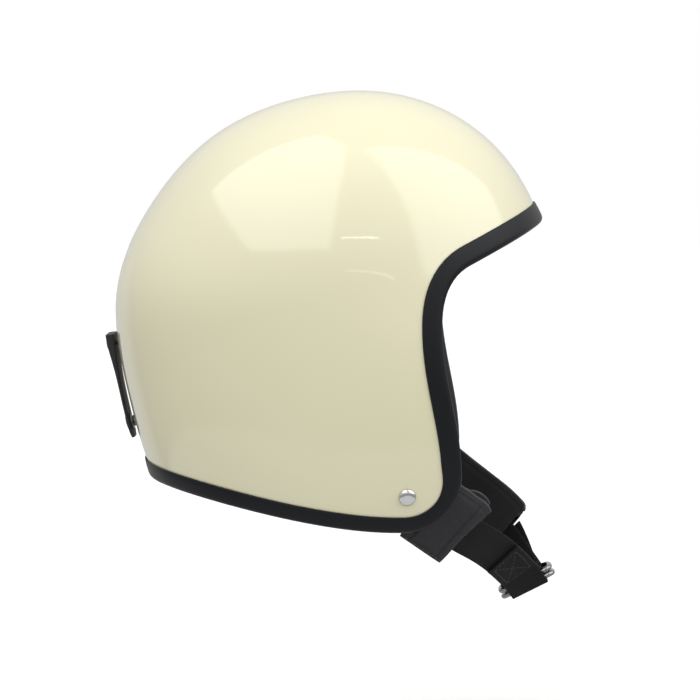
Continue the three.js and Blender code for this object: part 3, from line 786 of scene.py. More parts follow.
def leather_material(name="black_leather", low=(0.008, 0.0078, 0.0105), high=(0.019, 0.0185, 0.024)):
    material = new_material(name, high, 0.5, Specular_IOR_Level=0.5)
    cells = place_texture(material, "ShaderNodeTexVoronoi", 1300, settings={"feature": "DISTANCE_TO_EDGE"})
    cells = ramp(material, cells.outputs[0], 0.0, 1.0, 0.0, 0.22)
    wrinkle = noise(material, 130, 4.0)
    height = calculate(material, "ADD", cells, calculate(material, "MULTIPLY", wrinkle, 1.6))
    shade = calculate(material, "MULTIPLY", cells, ramp(material, wrinkle, 0.6, 1.0))
    vary_color(material, shade, low, high)
    link(material, ramp(material, cells, 0.62, 0.44), "Roughness")
    bump(material, height, 0.00012, 0.7)
    return material


def webbing_material():
    """Nylon webbing: ribs side by side across its width, each crossed by rows of thread."""
    material = new_material("webbing", (0.008, 0.008, 0.0085), 0.6, Specular_IOR_Level=0.22)
    place = add_node(material, "ShaderNodeUVMap", {"uv_map": "Strip"}).outputs[0]
    parts = add_node(material, "ShaderNodeSeparateXYZ", Vector=place)
    across = calculate(material, "MULTIPLY", parts.outputs[0], 2 * math.pi / (WEBBING_RIB * MM))
    ribs = calculate(material, "SINE", across)
    offset = calculate(material, "MULTIPLY", ribs, 1.2)
    rows = calculate(material, "MULTIPLY", parts.outputs[1], 2 * math.pi / (WEBBING_ROW * MM))
    threads = calculate(material, "SINE", calculate(material, "ADD", rows, offset))
    weave = calculate(material, "ADD", calculate(material, "MULTIPLY", ribs, 0.5), threads)
    height = ramp(material, weave, 0.0, 1.0, -1.5, 1.5)
    vary_color(material, height, (0.002, 0.002, 0.0021), (0.0085, 0.0085, 0.0088))
    bump(material, height, 0.00035, 0.9)
    return material


def cloth_material():
    # Its dark colours and low sheen are partly the cloth's own colour and partly painted shade for the strap
    # covers' chin side.
    material = new_material("lining_cloth", (0.02, 0.02, 0.022), 0.95, Sheen_Weight=0.15,
                            Sheen_Roughness=0.45)
    fuzz = noise(material, 1900, 5.0)
    nap = noise(material, 45, 3.0)
    pile = calculate(material, "MULTIPLY", fuzz, nap)
    vary_color(material, pile, (0.006, 0.006, 0.007), (0.026, 0.026, 0.029))
    bump(material, fuzz, 0.0003, 0.8)
    return material


def mesh_cloth_material():
    """Air mesh: a knit with rows of small round holes."""
    material = new_material("air_mesh", (0.03, 0.03, 0.033), 0.9, Sheen_Weight=0.3, Sheen_Roughness=0.5)
    holes = place_texture(material, "ShaderNodeTexVoronoi", 620, Randomness=0.35).outputs[0]
    knit = ramp(material, holes, 0.0, 1.0, 0.15, 0.45)
    vary_color(material, knit, (0.006, 0.006, 0.007), (0.045, 0.046, 0.05))
    bump(material, knit, 0.0005, 0.9)
    return material


def foam_material():
    material = new_material("liner_foam", (0.03, 0.03, 0.032), 0.85)
    beads = place_texture(material, "ShaderNodeTexVoronoi", 330).outputs[0]
    height = ramp(material, beads, 1.0, 0.0, 0.0, 0.6)
    vary_color(material, height, (0.012, 0.012, 0.013), (0.05, 0.05, 0.053))
    bump(material, height, 0.0005, 0.6)
    return material


def metal_material(name, color, roughness, spread):
    """Metal with fine wear: its roughness and tone drift a little."""
    material = new_material(name, color, roughness, Metallic=1.0)
    wear = noise(material, 700, 5.0)
    link(material, ramp(material, wear, roughness, roughness + spread), "Roughness")
    vary_color(material, wear, tuple(0.86 * c for c in color), color)
    scratches = noise(material, 5200, 2.0, Distortion=1.0)
    bump(material, scratches, 0.00001, 0.3)
    return material


def thread_material():
    material = new_material("thread", (0.02, 0.02, 0.021), 0.6, Sheen_Weight=0.3)
    twist = place_texture(material, "ShaderNodeTexWave", 1500, Distortion=1.0).outputs[0]
    vary_color(material, twist, (0.006, 0.006, 0.007), (0.022, 0.022, 0.024))
    bump(material, twist, 0.0001, 0.6)
    return material


PAINT = paint_material()
BARE_SHELL = glass_fibre_material()
RUBBER = rubber_material()
LEATHER = leather_material()
WEBBING = webbing_material()
CLOTH = cloth_material()
AIR_MESH = mesh_cloth_material()
FOAM = foam_material()
CHROME = metal_material("chrome", (0.78, 0.78, 0.80), 0.05, 0.07)
STEEL = metal_material("steel", (0.50, 0.51, 0.52), 0.25, 0.2)
DARK_METAL = metal_material("dark_metal", (0.10, 0.10, 0.105), 0.22, 0.15)
# The rings' chrome with its colour darkened: painted shade standing in for the dark surroundings that the
# rings reflect.
SHADED_RING_METAL = metal_material("ring_metal_painted_shade", (0.33, 0.33, 0.34), 0.10, 0.12)
THREAD = thread_material()
# Piping leather, lighter than the strap's leather: a painted highlight along the covers' rolled edges.
PIPING = leather_material("piping", (0.030, 0.030, 0.034), (0.055, 0.055, 0.062))


# ---- Camera, lights and floor ----


def view_direction(azimuth, elevation):
    """From the object towards the camera or a light."""
    a, e = math.radians(azimuth), math.radians(elevation)
    return Vector((math.sin(a) * math.cos(e), -math.cos(a) * math.cos(e), math.sin(e)))


def build_camera():
    data = bpy.data.cameras.new("camera")
    data.sensor_width = SENSOR
    data.lens = SENSOR * CAMERA_DISTANCE / VIEW_WIDTH
    camera = bpy.data.objects.new("camera", data)
    bpy.context.scene.collection.objects.link(camera)
    back = view_direction(CAMERA_AZIMUTH, CAMERA_ELEVATION)
    camera.location = AIM + CAMERA_DISTANCE * back
    camera.rotation_mode = "QUATERNION"
    camera.rotation_quaternion = (-back).to_track_quat("-Z", "Y")
    bpy.context.scene.camera = camera


def fade(world, value, start, end, low=0.0, high=1.0):
    return ramp(world, value, low, high, start, end, "SMOOTHSTEP")


def soft_box(world, sky, softness, corners):
    """One inside a convex patch of the sky, and zero outside it. Corners are azimuths and elevations."""
    ways = [view_direction(*corner) for corner in corners]
    middle = sum(ways, Vector()).normalized()
    mask = 1.0
    for first, second in zip(ways, ways[1:] + ways[:1]):
        edge = first.cross(second).normalized()
        edge = edge if edge.dot(middle) > 0 else -edge
        inside = add_node(world, "ShaderNodeVectorMath", {"operation": "DOT_PRODUCT"}, sky, tuple(edge))
        mask = calculate(world, "MULTIPLY", mask, fade(world, inside.outputs["Value"], -softness, softness))
    return mask


def build_world():
    """A white studio: a pale room, brighter above than below, with soft boxes by the camera."""
    world = bpy.data.worlds.new("studio")
    world.use_nodes = True
    bpy.context.scene.world = world
    sky = add_node(world, "ShaderNodeTexCoord").outputs["Generated"]
    parts = add_node(world, "ShaderNodeSeparateXYZ", None, sky)
    light = fade(world, parts.outputs["Z"], *ROOM_FADE, *ROOM_LIGHT)
    behind = fade(world, parts.outputs["Y"], *BACKDROP_FADE, 0.0, BACKDROP_LIGHT)
    light = calculate(world, "MAXIMUM", light, behind)
    low = fade(world, parts.outputs["Z"], *FLOOR_FADE, FLOOR_LIGHT, 0.0)
    light = calculate(world, "MAXIMUM", light, low)
    for strength, *place in SOFT_BOXES:
        box = calculate(world, "MULTIPLY", soft_box(world, sky, *place), strength)
        light = calculate(world, "ADD", light, box)
    seen = add_node(world, "ShaderNodeLightPath").outputs["Is Camera Ray"]
    shown = calculate(world, "MULTIPLY_ADD", seen, calculate(world, "SUBTRACT", 1.0, light), light)
    background = world.node_tree.nodes["Background"]
    background.inputs["Color"].default_value = (1, 1, 1, 1)
    world.node_tree.links.new(shown, background.inputs["Strength"])


def build_floor():
    """A white floor. It doesn't light the helmet from below: the room does."""
    corners = [(-1, -1), (1, -1), (1, 1), (-1, 1)]
    points = [(x * FLOOR_HALF_SIZE / MM, y * FLOOR_HALF_SIZE / MM, FLOOR_Z / MM) for x, y in corners]
    material = new_material("floor", (0.93, 0.93, 0.92), 0.8)
    floor = make_piece("floor", points, [(0, 1, 2, 3)], material)
    floor.visible_diffuse = False
    floor.visible_glossy = False


# ---- Shell and trim ----


def build_shell():
    outline = shell_outline(SHELL_EDGE_INSET)
    shell = layer("outer_shell_paint", 0.0, SHELL_WALL, outline, SHELL_DIVISIONS, PAINT, BARE_SHELL)
    clean(shell, sharp=40)
    set_panel(shell, lambda p: level(p, SHELL_WALL / 2) < 0)
    belong(shell, "helmet", "cream_paint", "outer_shell")


def build_trim():
    trim = loft("edge_trim_rubber", rim_points(TRIM_SECTION), RUBBER, joined=True, sharp=60)
    belong(trim, "helmet", "black_trim", "edge_trim")


# ---- Soft pieces ----


def read_points(piece):
    points = np.empty(len(piece.data.vertices) * 3)
    piece.data.vertices.foreach_get("co", points)
    return points.reshape(-1, 3) / MM


def write_points(piece, points):
    piece.data.vertices.foreach_set("co", (points * MM).ravel())
    piece.data.update()


def depth_below(points, depth):
    """How far points lie inside the egg at one depth."""
    return -level(points, depth) / np.linalg.norm(slope(points, depth), axis=-1)


def swell(piece, top):
    """Blows the piece up as stuffed cloth, held where its back lies on the liner."""
    before = read_points(piece)
    back = piece.vertex_groups.new(name="back")
    back.add(np.flatnonzero(depth_below(before, top) < BACK_DEPTH).tolist(), 1.0, "REPLACE")
    cloth = piece.modifiers.new("cloth", "CLOTH")
    cloth.settings.use_pressure = True
    cloth.settings.uniform_pressure_force = CLOTH_PRESSURE
    cloth.settings.vertex_group_mass = "back"
    cloth.settings.effector_weights.gravity = 0
    cloth.point_cache.frame_start = 1
    cloth.point_cache.frame_end = CLOTH_FRAMES
    for number in range(1, CLOTH_FRAMES + 1):
        bpy.context.scene.frame_set(number)
    apply_modifiers(piece)
    move = read_points(piece) - before
    reach = np.linalg.norm(move, axis=1, keepdims=True)
    write_points(piece, before + move * np.minimum(1, CLOTH_CAP / np.maximum(reach, 1e-6)))
    bpy.context.scene.frame_set(1)


def soften(piece, top, voxel):
    """Turns a cut solid into a padded form with rounded edges."""
    remesh = piece.modifiers.new("remesh", "REMESH")
    remesh.mode = "VOXEL"
    remesh.voxel_size = voxel * MM
    apply_modifiers(piece)
    swell(piece, top)
    smooth = piece.modifiers.new("smooth", "SMOOTH")
    smooth.factor = 0.5
    smooth.iterations = 5
    piece.modifiers.new("fine", "SUBSURF").levels = 1
    apply_modifiers(piece)
    piece.data.shade_smooth()


def sew(piece, top, seam_distance, depth=2.4, width=2.2):
    """Pulls a pad's face in along its seams. seam_distance gives each point's distance from a seam."""
    points = read_points(piece)
    front = np.clip((depth_below(points, top) - 3) / 3, 0, 1)
    pull = depth * front * fading(seam_distance(points), width)
    write_points(piece, points + shell_normal(points) * pull[:, None])


def distance_to_line(points, line):
    """Distances of x, z points from a closed side-view outline."""
    line = np.vstack([line, line[:1]])
    best = np.full(len(points), 1e9)
    for a, b in zip(line[:-1], line[1:]):
        span = b - a
        share = np.clip(((points - a) @ span) / max(span @ span, 1e-9), 0, 1)
        best = np.minimum(best, np.linalg.norm(points - a - share[:, None] * span, axis=1))
    return best


def stitches(name, body, line, normals, pitch, length, radius):
    """A row of thread stitches laid on a surface, as one mesh of small capsules."""
    line = np.asarray(line, float)
    reach = reach_along(line)
    count = int(reach[-1] / pitch)
    stops = (np.arange(count) + 0.5) * reach[-1] / count
    sides = 6
    turns = full_turn(sides)
    shape = [(-1, 0.15), (-0.8, 0.8), (-0.3, 1), (0.3, 1), (0.8, 0.8), (1, 0.15)]
    points = []
    faces = []
    for stop in stops:
        ends = [np.array([np.interp(stop + d, reach, line[:, k]) for k in range(3)]) for d in (-1, 0, 1)]
        normal = unit(np.array([np.interp(stop, reach, normals[:, k]) for k in range(3)]))
        along = unit(ends[2] - ends[0])
        across = unit(np.cross(normal, along))
        base = len(points)
        for place, girth in shape:
            sunk = -0.45 * place * place
            centre = ends[1] + along * place * length / 2 + normal * radius * sunk
            for turn in turns:
                offset = across * math.cos(turn) + normal * math.sin(turn)
                points.append(centre + offset * radius * girth)
        faces += [tuple(base + k for k in face) for face in skin(len(shape), sides)]
    belong(clean(make_piece(name, points, faces, THREAD)), body, "webbing")


def build_piping(name, line, radius):
    """A round piping along a leather edge of the chin strap. Its lighter leather paints a highlight along
    that edge.
    """
    tangent = unit(np.gradient(line, axis=0))
    side = np.cross(tangent[0], (0.31, 0.87, 0.38))
    rings = []
    for point, direction in zip(line, tangent):
        side = unit(side - direction * (side @ direction))
        rings.append(point + radius * circle_between(side, np.cross(direction, side), 8))
    belong(loft(name, rings, PIPING), "chin_strap", "black_leather")


# ---- Lining ----


def build_liner():
    liner = layer("eps_liner_foam", LINER_TOP, LINER_BOTTOM, upper_outline(), LINING_DIVISIONS, FOAM)
    clean(liner, sharp=35)
    belong(liner, "helmet", "liner_foam", "eps_liner")


def crown_seams(points):
    """Two seams run front to back, and one crosses between them."""
    rails = np.abs(np.abs(points[:, 1]) - CROWN_RAIL)
    bars = np.abs(np.abs(points[:, 0] - CROWN_BAR_X) - CROWN_BAR)
    bars = np.where(np.abs(points[:, 1]) < CROWN_RAIL, bars, 1e9)
    return np.minimum(rails, bars)


def band_seams(points):
    """Upright seams every few degrees round the head, and one that runs round it."""
    angle = np.arctan2(points[:, 1], points[:, 0])
    step = 2 * math.pi / BAND_PANELS
    off = np.abs(angle / step - np.round(angle / step)) * step
    upright = off * np.hypot(points[:, 0], points[:, 1])
    return np.minimum(upright, np.abs(points[:, 2] - BAND_SEAM_Z))


def build_upper_pad(node, outline, seams, panel):
    """A comfort pad of the upper lining: cloth, with air mesh where a panel's test holds."""
    pad = layer(f"{node}_cloth", PADDING_TOP + GAP, PADDING_BOTTOM - SWELL_ROOM, outline, LINING_DIVISIONS,
                CLOTH, AIR_MESH)
    soften(pad, PADDING_TOP, PAD_VOXEL)
    sew(pad, PADDING_TOP, seams)
    set_panel(pad, panel)
    belong(pad, "helmet", "lining_cloth", node)


def build_crown_pad():
    build_upper_pad("crown_pad", all_above(CROWN_LINE), crown_seams,
                    lambda p: (np.abs(p[:, 1]) < CROWN_RAIL) & (np.abs(p[:, 0] - CROWN_BAR_X) < CROWN_BAR))


def build_head_band():
    outline = below(upper_outline(), CROWN_LINE - GAP)
    build_upper_pad("head_band", outline, band_seams, lambda p: p[:, 2] > BAND_SEAM_Z)


def roll_seams(points):
    """Upright seams along the neck roll."""
    return np.abs(points[:, 1] / ROLL_PANEL - np.round(points[:, 1] / ROLL_PANEL)) * ROLL_PANEL


def build_neck_roll():
    pad = layer("neck_roll_leather", LINER_TOP + GAP, NECK_ROLL_BOTTOM - SWELL_ROOM, neck_roll_outline(),
                LINING_DIVISIONS, LEATHER)
    soften(pad, LINER_TOP, PAD_VOXEL)
    sew(pad, LINER_TOP, roll_seams, depth=1.8, width=1.8)
    belong(pad, "helmet", "black_leather", "neck_roll")


def build_cheek_pad(side, node):
    outline = cheek_outline()
    pad = layer(f"{node}_cloth", CHEEK_TOP, CHEEK_BOTTOM - SWELL_ROOM, outline, LINING_DIVISIONS,
                CLOTH, AIR_MESH)
    cut(pad, prism(all_above(-OUTSIDE), *sorted((0.0, side * OUTSIDE))))
    soften(pad, CHEEK_TOP, CHEEK_VOXEL)
    sew(pad, CHEEK_TOP, lambda p: distance_to_line(p[:, [0, 2]], outline) - CHEEK_SEAM, depth=2.6)
    set_panel(pad, lambda p: (distance_to_line(p[:, [0, 2]], outline) > CHEEK_SEAM)
              & (depth_below(p, CHEEK_TOP) > BACK_DEPTH))
    belong(pad, "helmet", "lining_cloth", node)


# ---- Fasteners ----


def build_chin_rivet(side, tag):
    """A domed head on the shell, and a shank through shell and strap with its washer and peened end."""
    x, z = RIVET
    y = side * float(half_width(np.float64(x), np.float64(z)))
    place = np.array([x, y, z])
    normal = shell_normal(place[None])[0]
    across = np.array([0, side, 0])
    head = turned(f"rivet_head_{tag}", RIVET_HEAD, place, normal, CHROME)
    start = place - across * SHANK_LENGTH
    shank = turned(f"rivet_shank_{tag}", RIVET_SHANK, start, across, CHROME)
    rivet = join(f"rivet_{tag}", [head, shank])
    belong(rivet, "helmet", "chrome", f"chin_rivet_{tag}")
    lo, hi = (np.array(corner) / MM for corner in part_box(f"chin_rivet_washer_{tag}"))
    centre = (lo + hi) / 2
    thick = hi[1] - lo[1]
    washer = turned(f"rivet_washer_{tag}", washer_profile(SHANK_RADIUS + 0.3, hi[0] - centre[0], thick),
                    centre, across, STEEL)
    belong(washer, "helmet", "steel", f"chin_rivet_washer_{tag}")


def washer_profile(inner, outer, thick, ease=0.15):
    low, high = -thick / 2, thick / 2
    return [(inner, low + ease), (inner + ease, low), (outer - ease, low), (outer, low + ease),
            (outer, high - ease), (outer - ease, high), (inner + ease, high), (inner, high - ease),
            (inner, low + ease)]


# ---- Strap courses ----


def catmull_point(points, t):
    """The centripetal Catmull-Rom line through points, at a share of its spans."""
    last = len(points) - 1
    place = last * t
    first = min(int(math.floor(place)), last - 1)
    weight = place - first
    b, c = points[first], points[first + 1]
    a = points[first - 1] if first > 0 else 2 * points[0] - points[1]
    d = points[first + 2] if first + 2 <= last else 2 * points[last] - points[last - 1]
    steps = [np.linalg.norm(q - p) ** 0.5 for p, q in ((a, b), (b, c), (c, d))]
    if steps[1] < 1e-4:
        steps[1] = 1.0
    steps = [step if step >= 1e-4 else steps[1] for step in steps]
    before, span, after = steps
    start = (b - a) / before - (c - a) / (before + span) + (c - b) / span
    end = (c - b) / span - (d - b) / (span + after) + (d - c) / after
    start, end = start * span, end * span
    return (b + start * weight + (3 * (c - b) - 2 * start - end) * weight**2
            + (2 * (b - c) + start + end) * weight**3)


def hanging_frame(side, t):
    """The strap's centre and the direction of its width, on one side, from rivet (0) to rings (1)."""
    centre = catmull_point(STRAP_COURSE[:, :3] * (1, side, 1), t)
    angle = math.radians(catmull_point(STRAP_COURSE[:, 3:], t)[0])
    return centre, np.array([math.cos(angle), 0, math.sin(angle)])


def hanging_frames(side, start, end, count):
    return [hanging_frame(side, start + (end - start) * i / count) for i in range(count + 1)]


def end_frames(side):
    """The webbing's end runs straight on past the rivet."""
    (a, width), (b, _) = hanging_frame(side, 0), hanging_frame(side, 0.02)
    return [(a + unit(b - a) * STRAP_START * share, width) for share in (1, 0.5)]


def ring_side_frame(across, y, z):
    width = np.array([math.cos(RING_TILT), 0, math.sin(RING_TILT)])
    up = np.array([-math.sin(RING_TILT), 0, math.cos(RING_TILT)])
    return RING_PLACE + (0, y, 0) + width * across + up * z, width


def half_turn(y, z, radius, side, count):
    """A half turn of webbing round a bar, from the chin side to the outer side."""
    turns = [math.pi * i / count for i in range(count + 1)]
    return [ring_side_frame(0, y + side * radius * math.sin(a), z + radius * math.cos(a)) for a in turns]


def outer_layer(side, start, end, count, drift):
    """The layer on the outside of the hanging strap."""
    frames = []
    for i in range(count + 1):
        t = start + (end - start) * i / count
        centre, width = hanging_frame(side, t)
        ahead, _ = hanging_frame(side, t + 0.01)
        out = unit(np.cross(unit(ahead - centre), width))
        out = -out if out[2] > 0 else out
        gap = LAYER_GAP * (1 - 0.8 * i / count)
        frames.append((centre + out * (WEBBING_THICKNESS + gap) + width * drift * i / count, width))
    return frames


def strap_axes(frames):
    """Centres, widths and outward directions of a strap's frames. Outward is away from the chin."""
    centres = np.array([centre for centre, _ in frames])
    widths = np.array([width for _, width in frames])
    along = np.empty_like(centres)
    along[1:-1] = centres[2:] - centres[:-2]
    along[0], along[-1] = centres[1] - centres[0], centres[-1] - centres[-2]
    outward = unit(np.cross(unit(along), widths))
    if outward[0, 2] > 0:
        outward = -outward
    return centres, widths, outward


def strap_rings(frames, section):
    """Places a section of across and outward at every frame. The section can be one, or one per frame."""
    centres, widths, outward = strap_axes(frames)
    section = np.asarray(section, float)
    if section.ndim == 2:
        section = np.broadcast_to(section, (len(frames), *section.shape))
    return centres[:, None] + section[..., :1] * widths[:, None] + section[..., 1:] * outward[:, None]


def band_section(width, thickness, points_across=13, corner=0.45):
    """A flat section with soft corners."""
    half, thick = width / 2, thickness / 2
    across = np.linspace(-half + corner, half - corner, points_across)
    turn = np.linspace(-math.pi / 2, math.pi / 2, 5)[1:-1]
    section = [(x, -thick) for x in across]
    section += [(half - corner + corner * math.cos(a), thick * math.sin(a)) for a in turn]
    section += [(x, thick) for x in across[::-1]]
    section += [(-half + corner - corner * math.cos(a), -thick * math.sin(a)) for a in turn]
    return section


# ---- Chin strap ----


def build_webbing(side, ring_frames, name, node):
    frames = [*end_frames(side), *hanging_frames(side, 0, 1, 90), *ring_frames]
    rings = strap_rings(frames, band_section(WEBBING_WIDTH, WEBBING_THICKNESS))
    webbing = loft(name, rings, WEBBING, sharp=50)
    belong(webbing, "chin_strap", "webbing", node)


def build_box_stitch(side, name, ends, drift):
    """A sewn box with a cross, where a webbing end lies on the strap."""
    frames = outer_layer(side, *ends, 24, drift)
    centres, widths, outward = strap_axes(frames)
    face = centres + outward * (WEBBING_THICKNESS / 2 + 0.05)
    half = WEBBING_WIDTH / 2 - BOX_INSET
    inner = slice(4, -2)
    place, width, out = face[inner], widths[inner], outward[inner]
    share = np.linspace(-1, 1, len(place))[:, None]
    lines = [place + width * half, place - width * half, place + width * half * share,
             place - width * half * share]
    for number, line in enumerate(lines):
        stitches(f"{name}_{number}", "chin_strap", line, out, *WEBBING_STITCH)
    for number, k in enumerate((0, -1)):
        across = np.linspace(-half, half, 12)[:, None]
        line = place[k] + width[k] * across
        normals = np.repeat(out[k][None], 12, axis=0)
        stitches(f"{name}_end_{number}", "chin_strap", line, normals, *WEBBING_STITCH)


def right_loop():
    radius = RING_SPACING / 2 + RING_WIRE + GAP + WEBBING_THICKNESS / 2
    turn = half_turn(RING_BAR_Y, 0, radius, 1, 16)
    return [*turn, ring_side_frame(0, RING_BAR_Y - BAR_RUN, -radius), *outer_layer(-1, *STITCHED, 20, 0)]


def left_fold():
    radius = RING_WIRE + GAP + WEBBING_THICKNESS / 2
    turn = half_turn(RING_BOW_Y - BOW_INSET, RING_SPACING / 2, radius, -1, 16)
    low = RING_SPACING / 2 - radius
    run = ring_side_frame(0.5, RING_BOW_Y + BOW_RUN, low)
    return [*turn, run, *outer_layer(1, *TAIL, 12, TAIL_DRIFT)]


def ring_wire(name, node, body, middle, tilt):
    """A wire bent to a D: a straight bar on the right and a bow on the left."""
    w, low, high = RING_HALF_WIDTH, RING_BAR_Y, RING_BOW_Y
    r, bow = RING_BAR_RADIUS, RING_BOW_RADIUS
    arcs = [(w - r, low + r, r, -90), (w - bow, high - bow, bow, 0), (bow - w, high - bow, bow, 90),
            (r - w, low + r, r, 180)]
    line = []
    for x, y, radius, start in arcs:
        for angle in np.radians(np.linspace(start, start + 90, 12)):
            line.append((x + radius * math.cos(angle), y + radius * math.sin(angle), 0))
    line = evenly(np.array(line), 120, closed=True)
    tangent = unit(np.roll(line, -1, axis=0) - np.roll(line, 1, axis=0))
    side = np.cross(tangent, (0, 0, 1))
    up = np.array([0, 0, 1])
    rings = np.array([point + RING_WIRE * circle_between(out, up, 16) for point, out in zip(line, side)])
    rings = rings - (0, RING_BAR_Y, 0)
    c, s = math.cos(tilt), math.sin(tilt)
    rings = rings @ np.array([[1, 0, 0], [0, c, s], [0, -s, c]]) + (0, RING_BAR_Y, middle)
    c, s = math.cos(RING_TILT), math.sin(RING_TILT)
    rings = rings @ np.array([[c, 0, s], [0, 1, 0], [-s, 0, c]]) + RING_PLACE
    # The darkened ring metal paints shade for the dark surroundings that the rings reflect.
    ring = loft(name, rings, SHADED_RING_METAL, joined=True)
    belong(ring, body, "chrome", node)


# ---- Strap covers and snap ----


def cover_section(width, thickness):
    """Outer and inner outlines of a padded sleeve, with equal numbers of points."""
    half = width / 2
    across = half * np.sin(np.linspace(-math.pi / 2, math.pi / 2, 41))
    fall = np.abs(across) / half
    plump = thickness / 2 * (1 - fall**5) ** 0.5
    seam = fading(np.abs(across) - (half - COVER_SEAM), SEAM_WIDTH)
    up = plump - 0.5 * seam
    outer = np.vstack([np.stack([across, -up], -1), np.stack([across[::-1], up[::-1]], -1)[1:-1]])
    slot = half - COVER_RIM
    inner_x = outer[:, 0] / half * slot
    inner_y = np.sign(outer[:, 1]) * np.minimum(np.abs(outer[:, 1]), SLOT_HALF)
    inner_y = np.where(np.abs(outer[:, 0]) > half * 0.999, 0, inner_y)
    return outer, np.stack([inner_x, inner_y], -1)


def build_cover(side, tag, start, end, rise, skew):
    """A padded leather sleeve: its ends are folded hems, and both long edges are sewn."""
    name = f"cover_{tag}"
    count = 60
    frames = hanging_frames(side, start, end, count)
    frames = [(centre + width * rise, width) for centre, width in frames]
    centres, widths, outward = strap_axes(frames)
    outer, inner = cover_section(COVER_WIDTH, COVER_THICKNESS)
    reach = reach_along(centres)
    from_end = np.minimum(reach, reach[-1] - reach)
    ease, ease_width = HEM_EASE
    plump = 1 - ease * fading(from_end, ease_width) - HEM_CREASE * fading(from_end - HEM, SEAM_WIDTH)
    lift = np.stack([np.ones_like(plump), plump], -1)
    along = unit(np.gradient(centres, axis=0))
    shift = END_CURVE * np.clip((reach - reach[-1] + END_REACH) / END_REACH, 0, 1) ** 2
    rounding = np.clip((reach - reach[-1] + CORNER_REACH) / CORNER_REACH, 0, 1) ** 3 * CORNER_CUT
    outer_rings = strap_rings(frames, outer[None] * lift[:, None])
    inner_rings = strap_rings(frames, np.broadcast_to(inner, (count + 1, *inner.shape)))
    for rings, section in ((outer_rings, outer), (inner_rings, inner)):
        share = section[:, 0] / (COVER_WIDTH / 2)
        hollow = (1 - share**2)[None, :] * shift[:, None]
        rings -= hollow[..., None] * along[:, None]
        slanted = share[None, :] * skew * (shift / END_CURVE)[:, None]
        rings -= slanted[..., None] * along[:, None]
        cut_back = np.clip(share, 0, 1)[None, :] * rounding[:, None]
        rings -= cut_back[..., None] * widths[:, None]
    rings = np.concatenate([outer_rings, inner_rings[::-1]]).transpose(1, 0, 2)
    cover = loft(name, rings, LEATHER, joined=True)
    # The chin-facing side takes the dark lining cloth: partly a cloth lining, partly painted shade for the
    # shadow that side lies in.
    cover.data.materials.append(CLOTH)

    def faces_chin(places):
        nearest = np.argmin(((places[:, None] - centres[None]) ** 2).sum(-1), axis=1)
        return ((places - centres[nearest]) * outward[nearest]).sum(-1) < -0.4

    set_panel(cover, faces_chin)
    belong(cover, "chin_strap", "black_leather", f"strap_{name}")
    half = COVER_WIDTH / 2
    edge = centres + widths * (half + 0.2 - rounding[:, None]) - along * (skew * shift / END_CURVE)[:, None]
    build_piping(f"{name}_piping", edge, PIPING_RADIUS)
    low_edge = centres - widths * (half - COVER_SEAM + 1.6) + outward * 2.0
    stitches(f"{name}_seam", "chin_strap", low_edge[3:-3], outward[3:-3], *LEATHER_STITCH)


def build_backing():
    """A thin leather tongue behind the right cover's upper edge, with a rounded corner."""
    frames = hanging_frames(-1, BACKING_START, BACKING_END, 30)
    centres, widths, outward = strap_axes(frames)
    share = np.linspace(0, 1, len(frames))
    high = BACKING_RISE * np.sin(math.pi * np.clip((share - BACKING_FROM) / (1 - BACKING_FROM), 0, 1)) ** 0.6
    inward = -(COVER_THICKNESS / 2 + BACKING_GAP)
    section = []
    for top in high:
        across = np.linspace(BACKING_LOW, COVER_WIDTH / 2 + top, 9)
        section.append([(x, inward - BACKING_HALF) for x in across]
                       + [(x, inward + BACKING_HALF) for x in across[::-1]])
    rings = strap_rings(frames, section)
    tongue = loft("cover_right_tongue", rings, LEATHER, sharp=60)
    belong(tongue, "chin_strap", "black_leather")
    edge = centres + widths * (COVER_WIDTH / 2 + high[:, None]) + outward * inward
    build_piping("cover_right_tongue_piping", edge, TONGUE_PIPING_RADIUS)


def dome(radius, height, lip=0.25):
    """The profile of a shallow dome with a rolled rim."""
    rim = height * 0.36
    turn = np.linspace(0, math.pi / 2, 10)[:-1]
    crown = [(radius * 0.97 * math.cos(a), rim + (height - rim) * math.sin(a)) for a in turn]
    return [(0, 0), (radius - lip, 0), (radius, lip), (radius, rim - 0.05), *crown, (0, height)]


def build_snap():
    outside, width = outer_layer(1, SNAP_AT, SNAP_AT - 1e-6, 1, 0)[0]
    centre, _ = hanging_frame(1, SNAP_AT)
    out = unit(outside - centre)
    face = WEBBING_THICKNESS / 2 + LAYER_GAP
    cap = turned("snap_cap", dome(SNAP_RADIUS, SNAP_HEIGHT), outside + out * face + width * SNAP_DRIFT,
                 out, DARK_METAL)
    belong(cap, "chin_strap", "dark_metal", "strap_snap_cap")
    base = turned("snap_base", dome(SNAP_BASE_RADIUS, SNAP_BASE_HEIGHT), centre - out * face, -out, STEEL)
    belong(base, "chin_strap", "steel", "strap_snap_base")


# ---- Goggle strap ----


def back_point(degrees, height):
    """A point on the back's centre line at one height above the shell, and the way out."""
    angle = math.radians(degrees)
    radius = float(outline_radius(angle))
    place = np.array([radius * math.cos(angle), 0, radius * math.sin(angle)])
    out = shell_normal(place[None])[0]
    return place + out * height, out


def goggle_share(degrees):
    """How far down the goggle strap an angle lies, from 0 at its top to 1."""
    return (degrees - GOGGLE_TOP) / (GOGGLE_BOTTOM - GOGGLE_TOP)


def goggle_thickness(degrees):
    return GOGGLE_THIN + GOGGLE_THICK_TOP * fading(goggle_share(degrees), GOGGLE_THICK_REACH)


def goggle_lift(degrees):
    return GOGGLE_LIFT + GOGGLE_LOW_LIFT * (1 - fading(goggle_share(degrees), GOGGLE_LIFT_REACH))


def goggle_half(degrees):
    past = max(0, goggle_share(degrees) - GOGGLE_ROUND_FROM) / (1 - GOGGLE_ROUND_FROM)
    return GOGGLE_WIDTH / 2 * (1 - GOGGLE_ROUNDING * past**2)


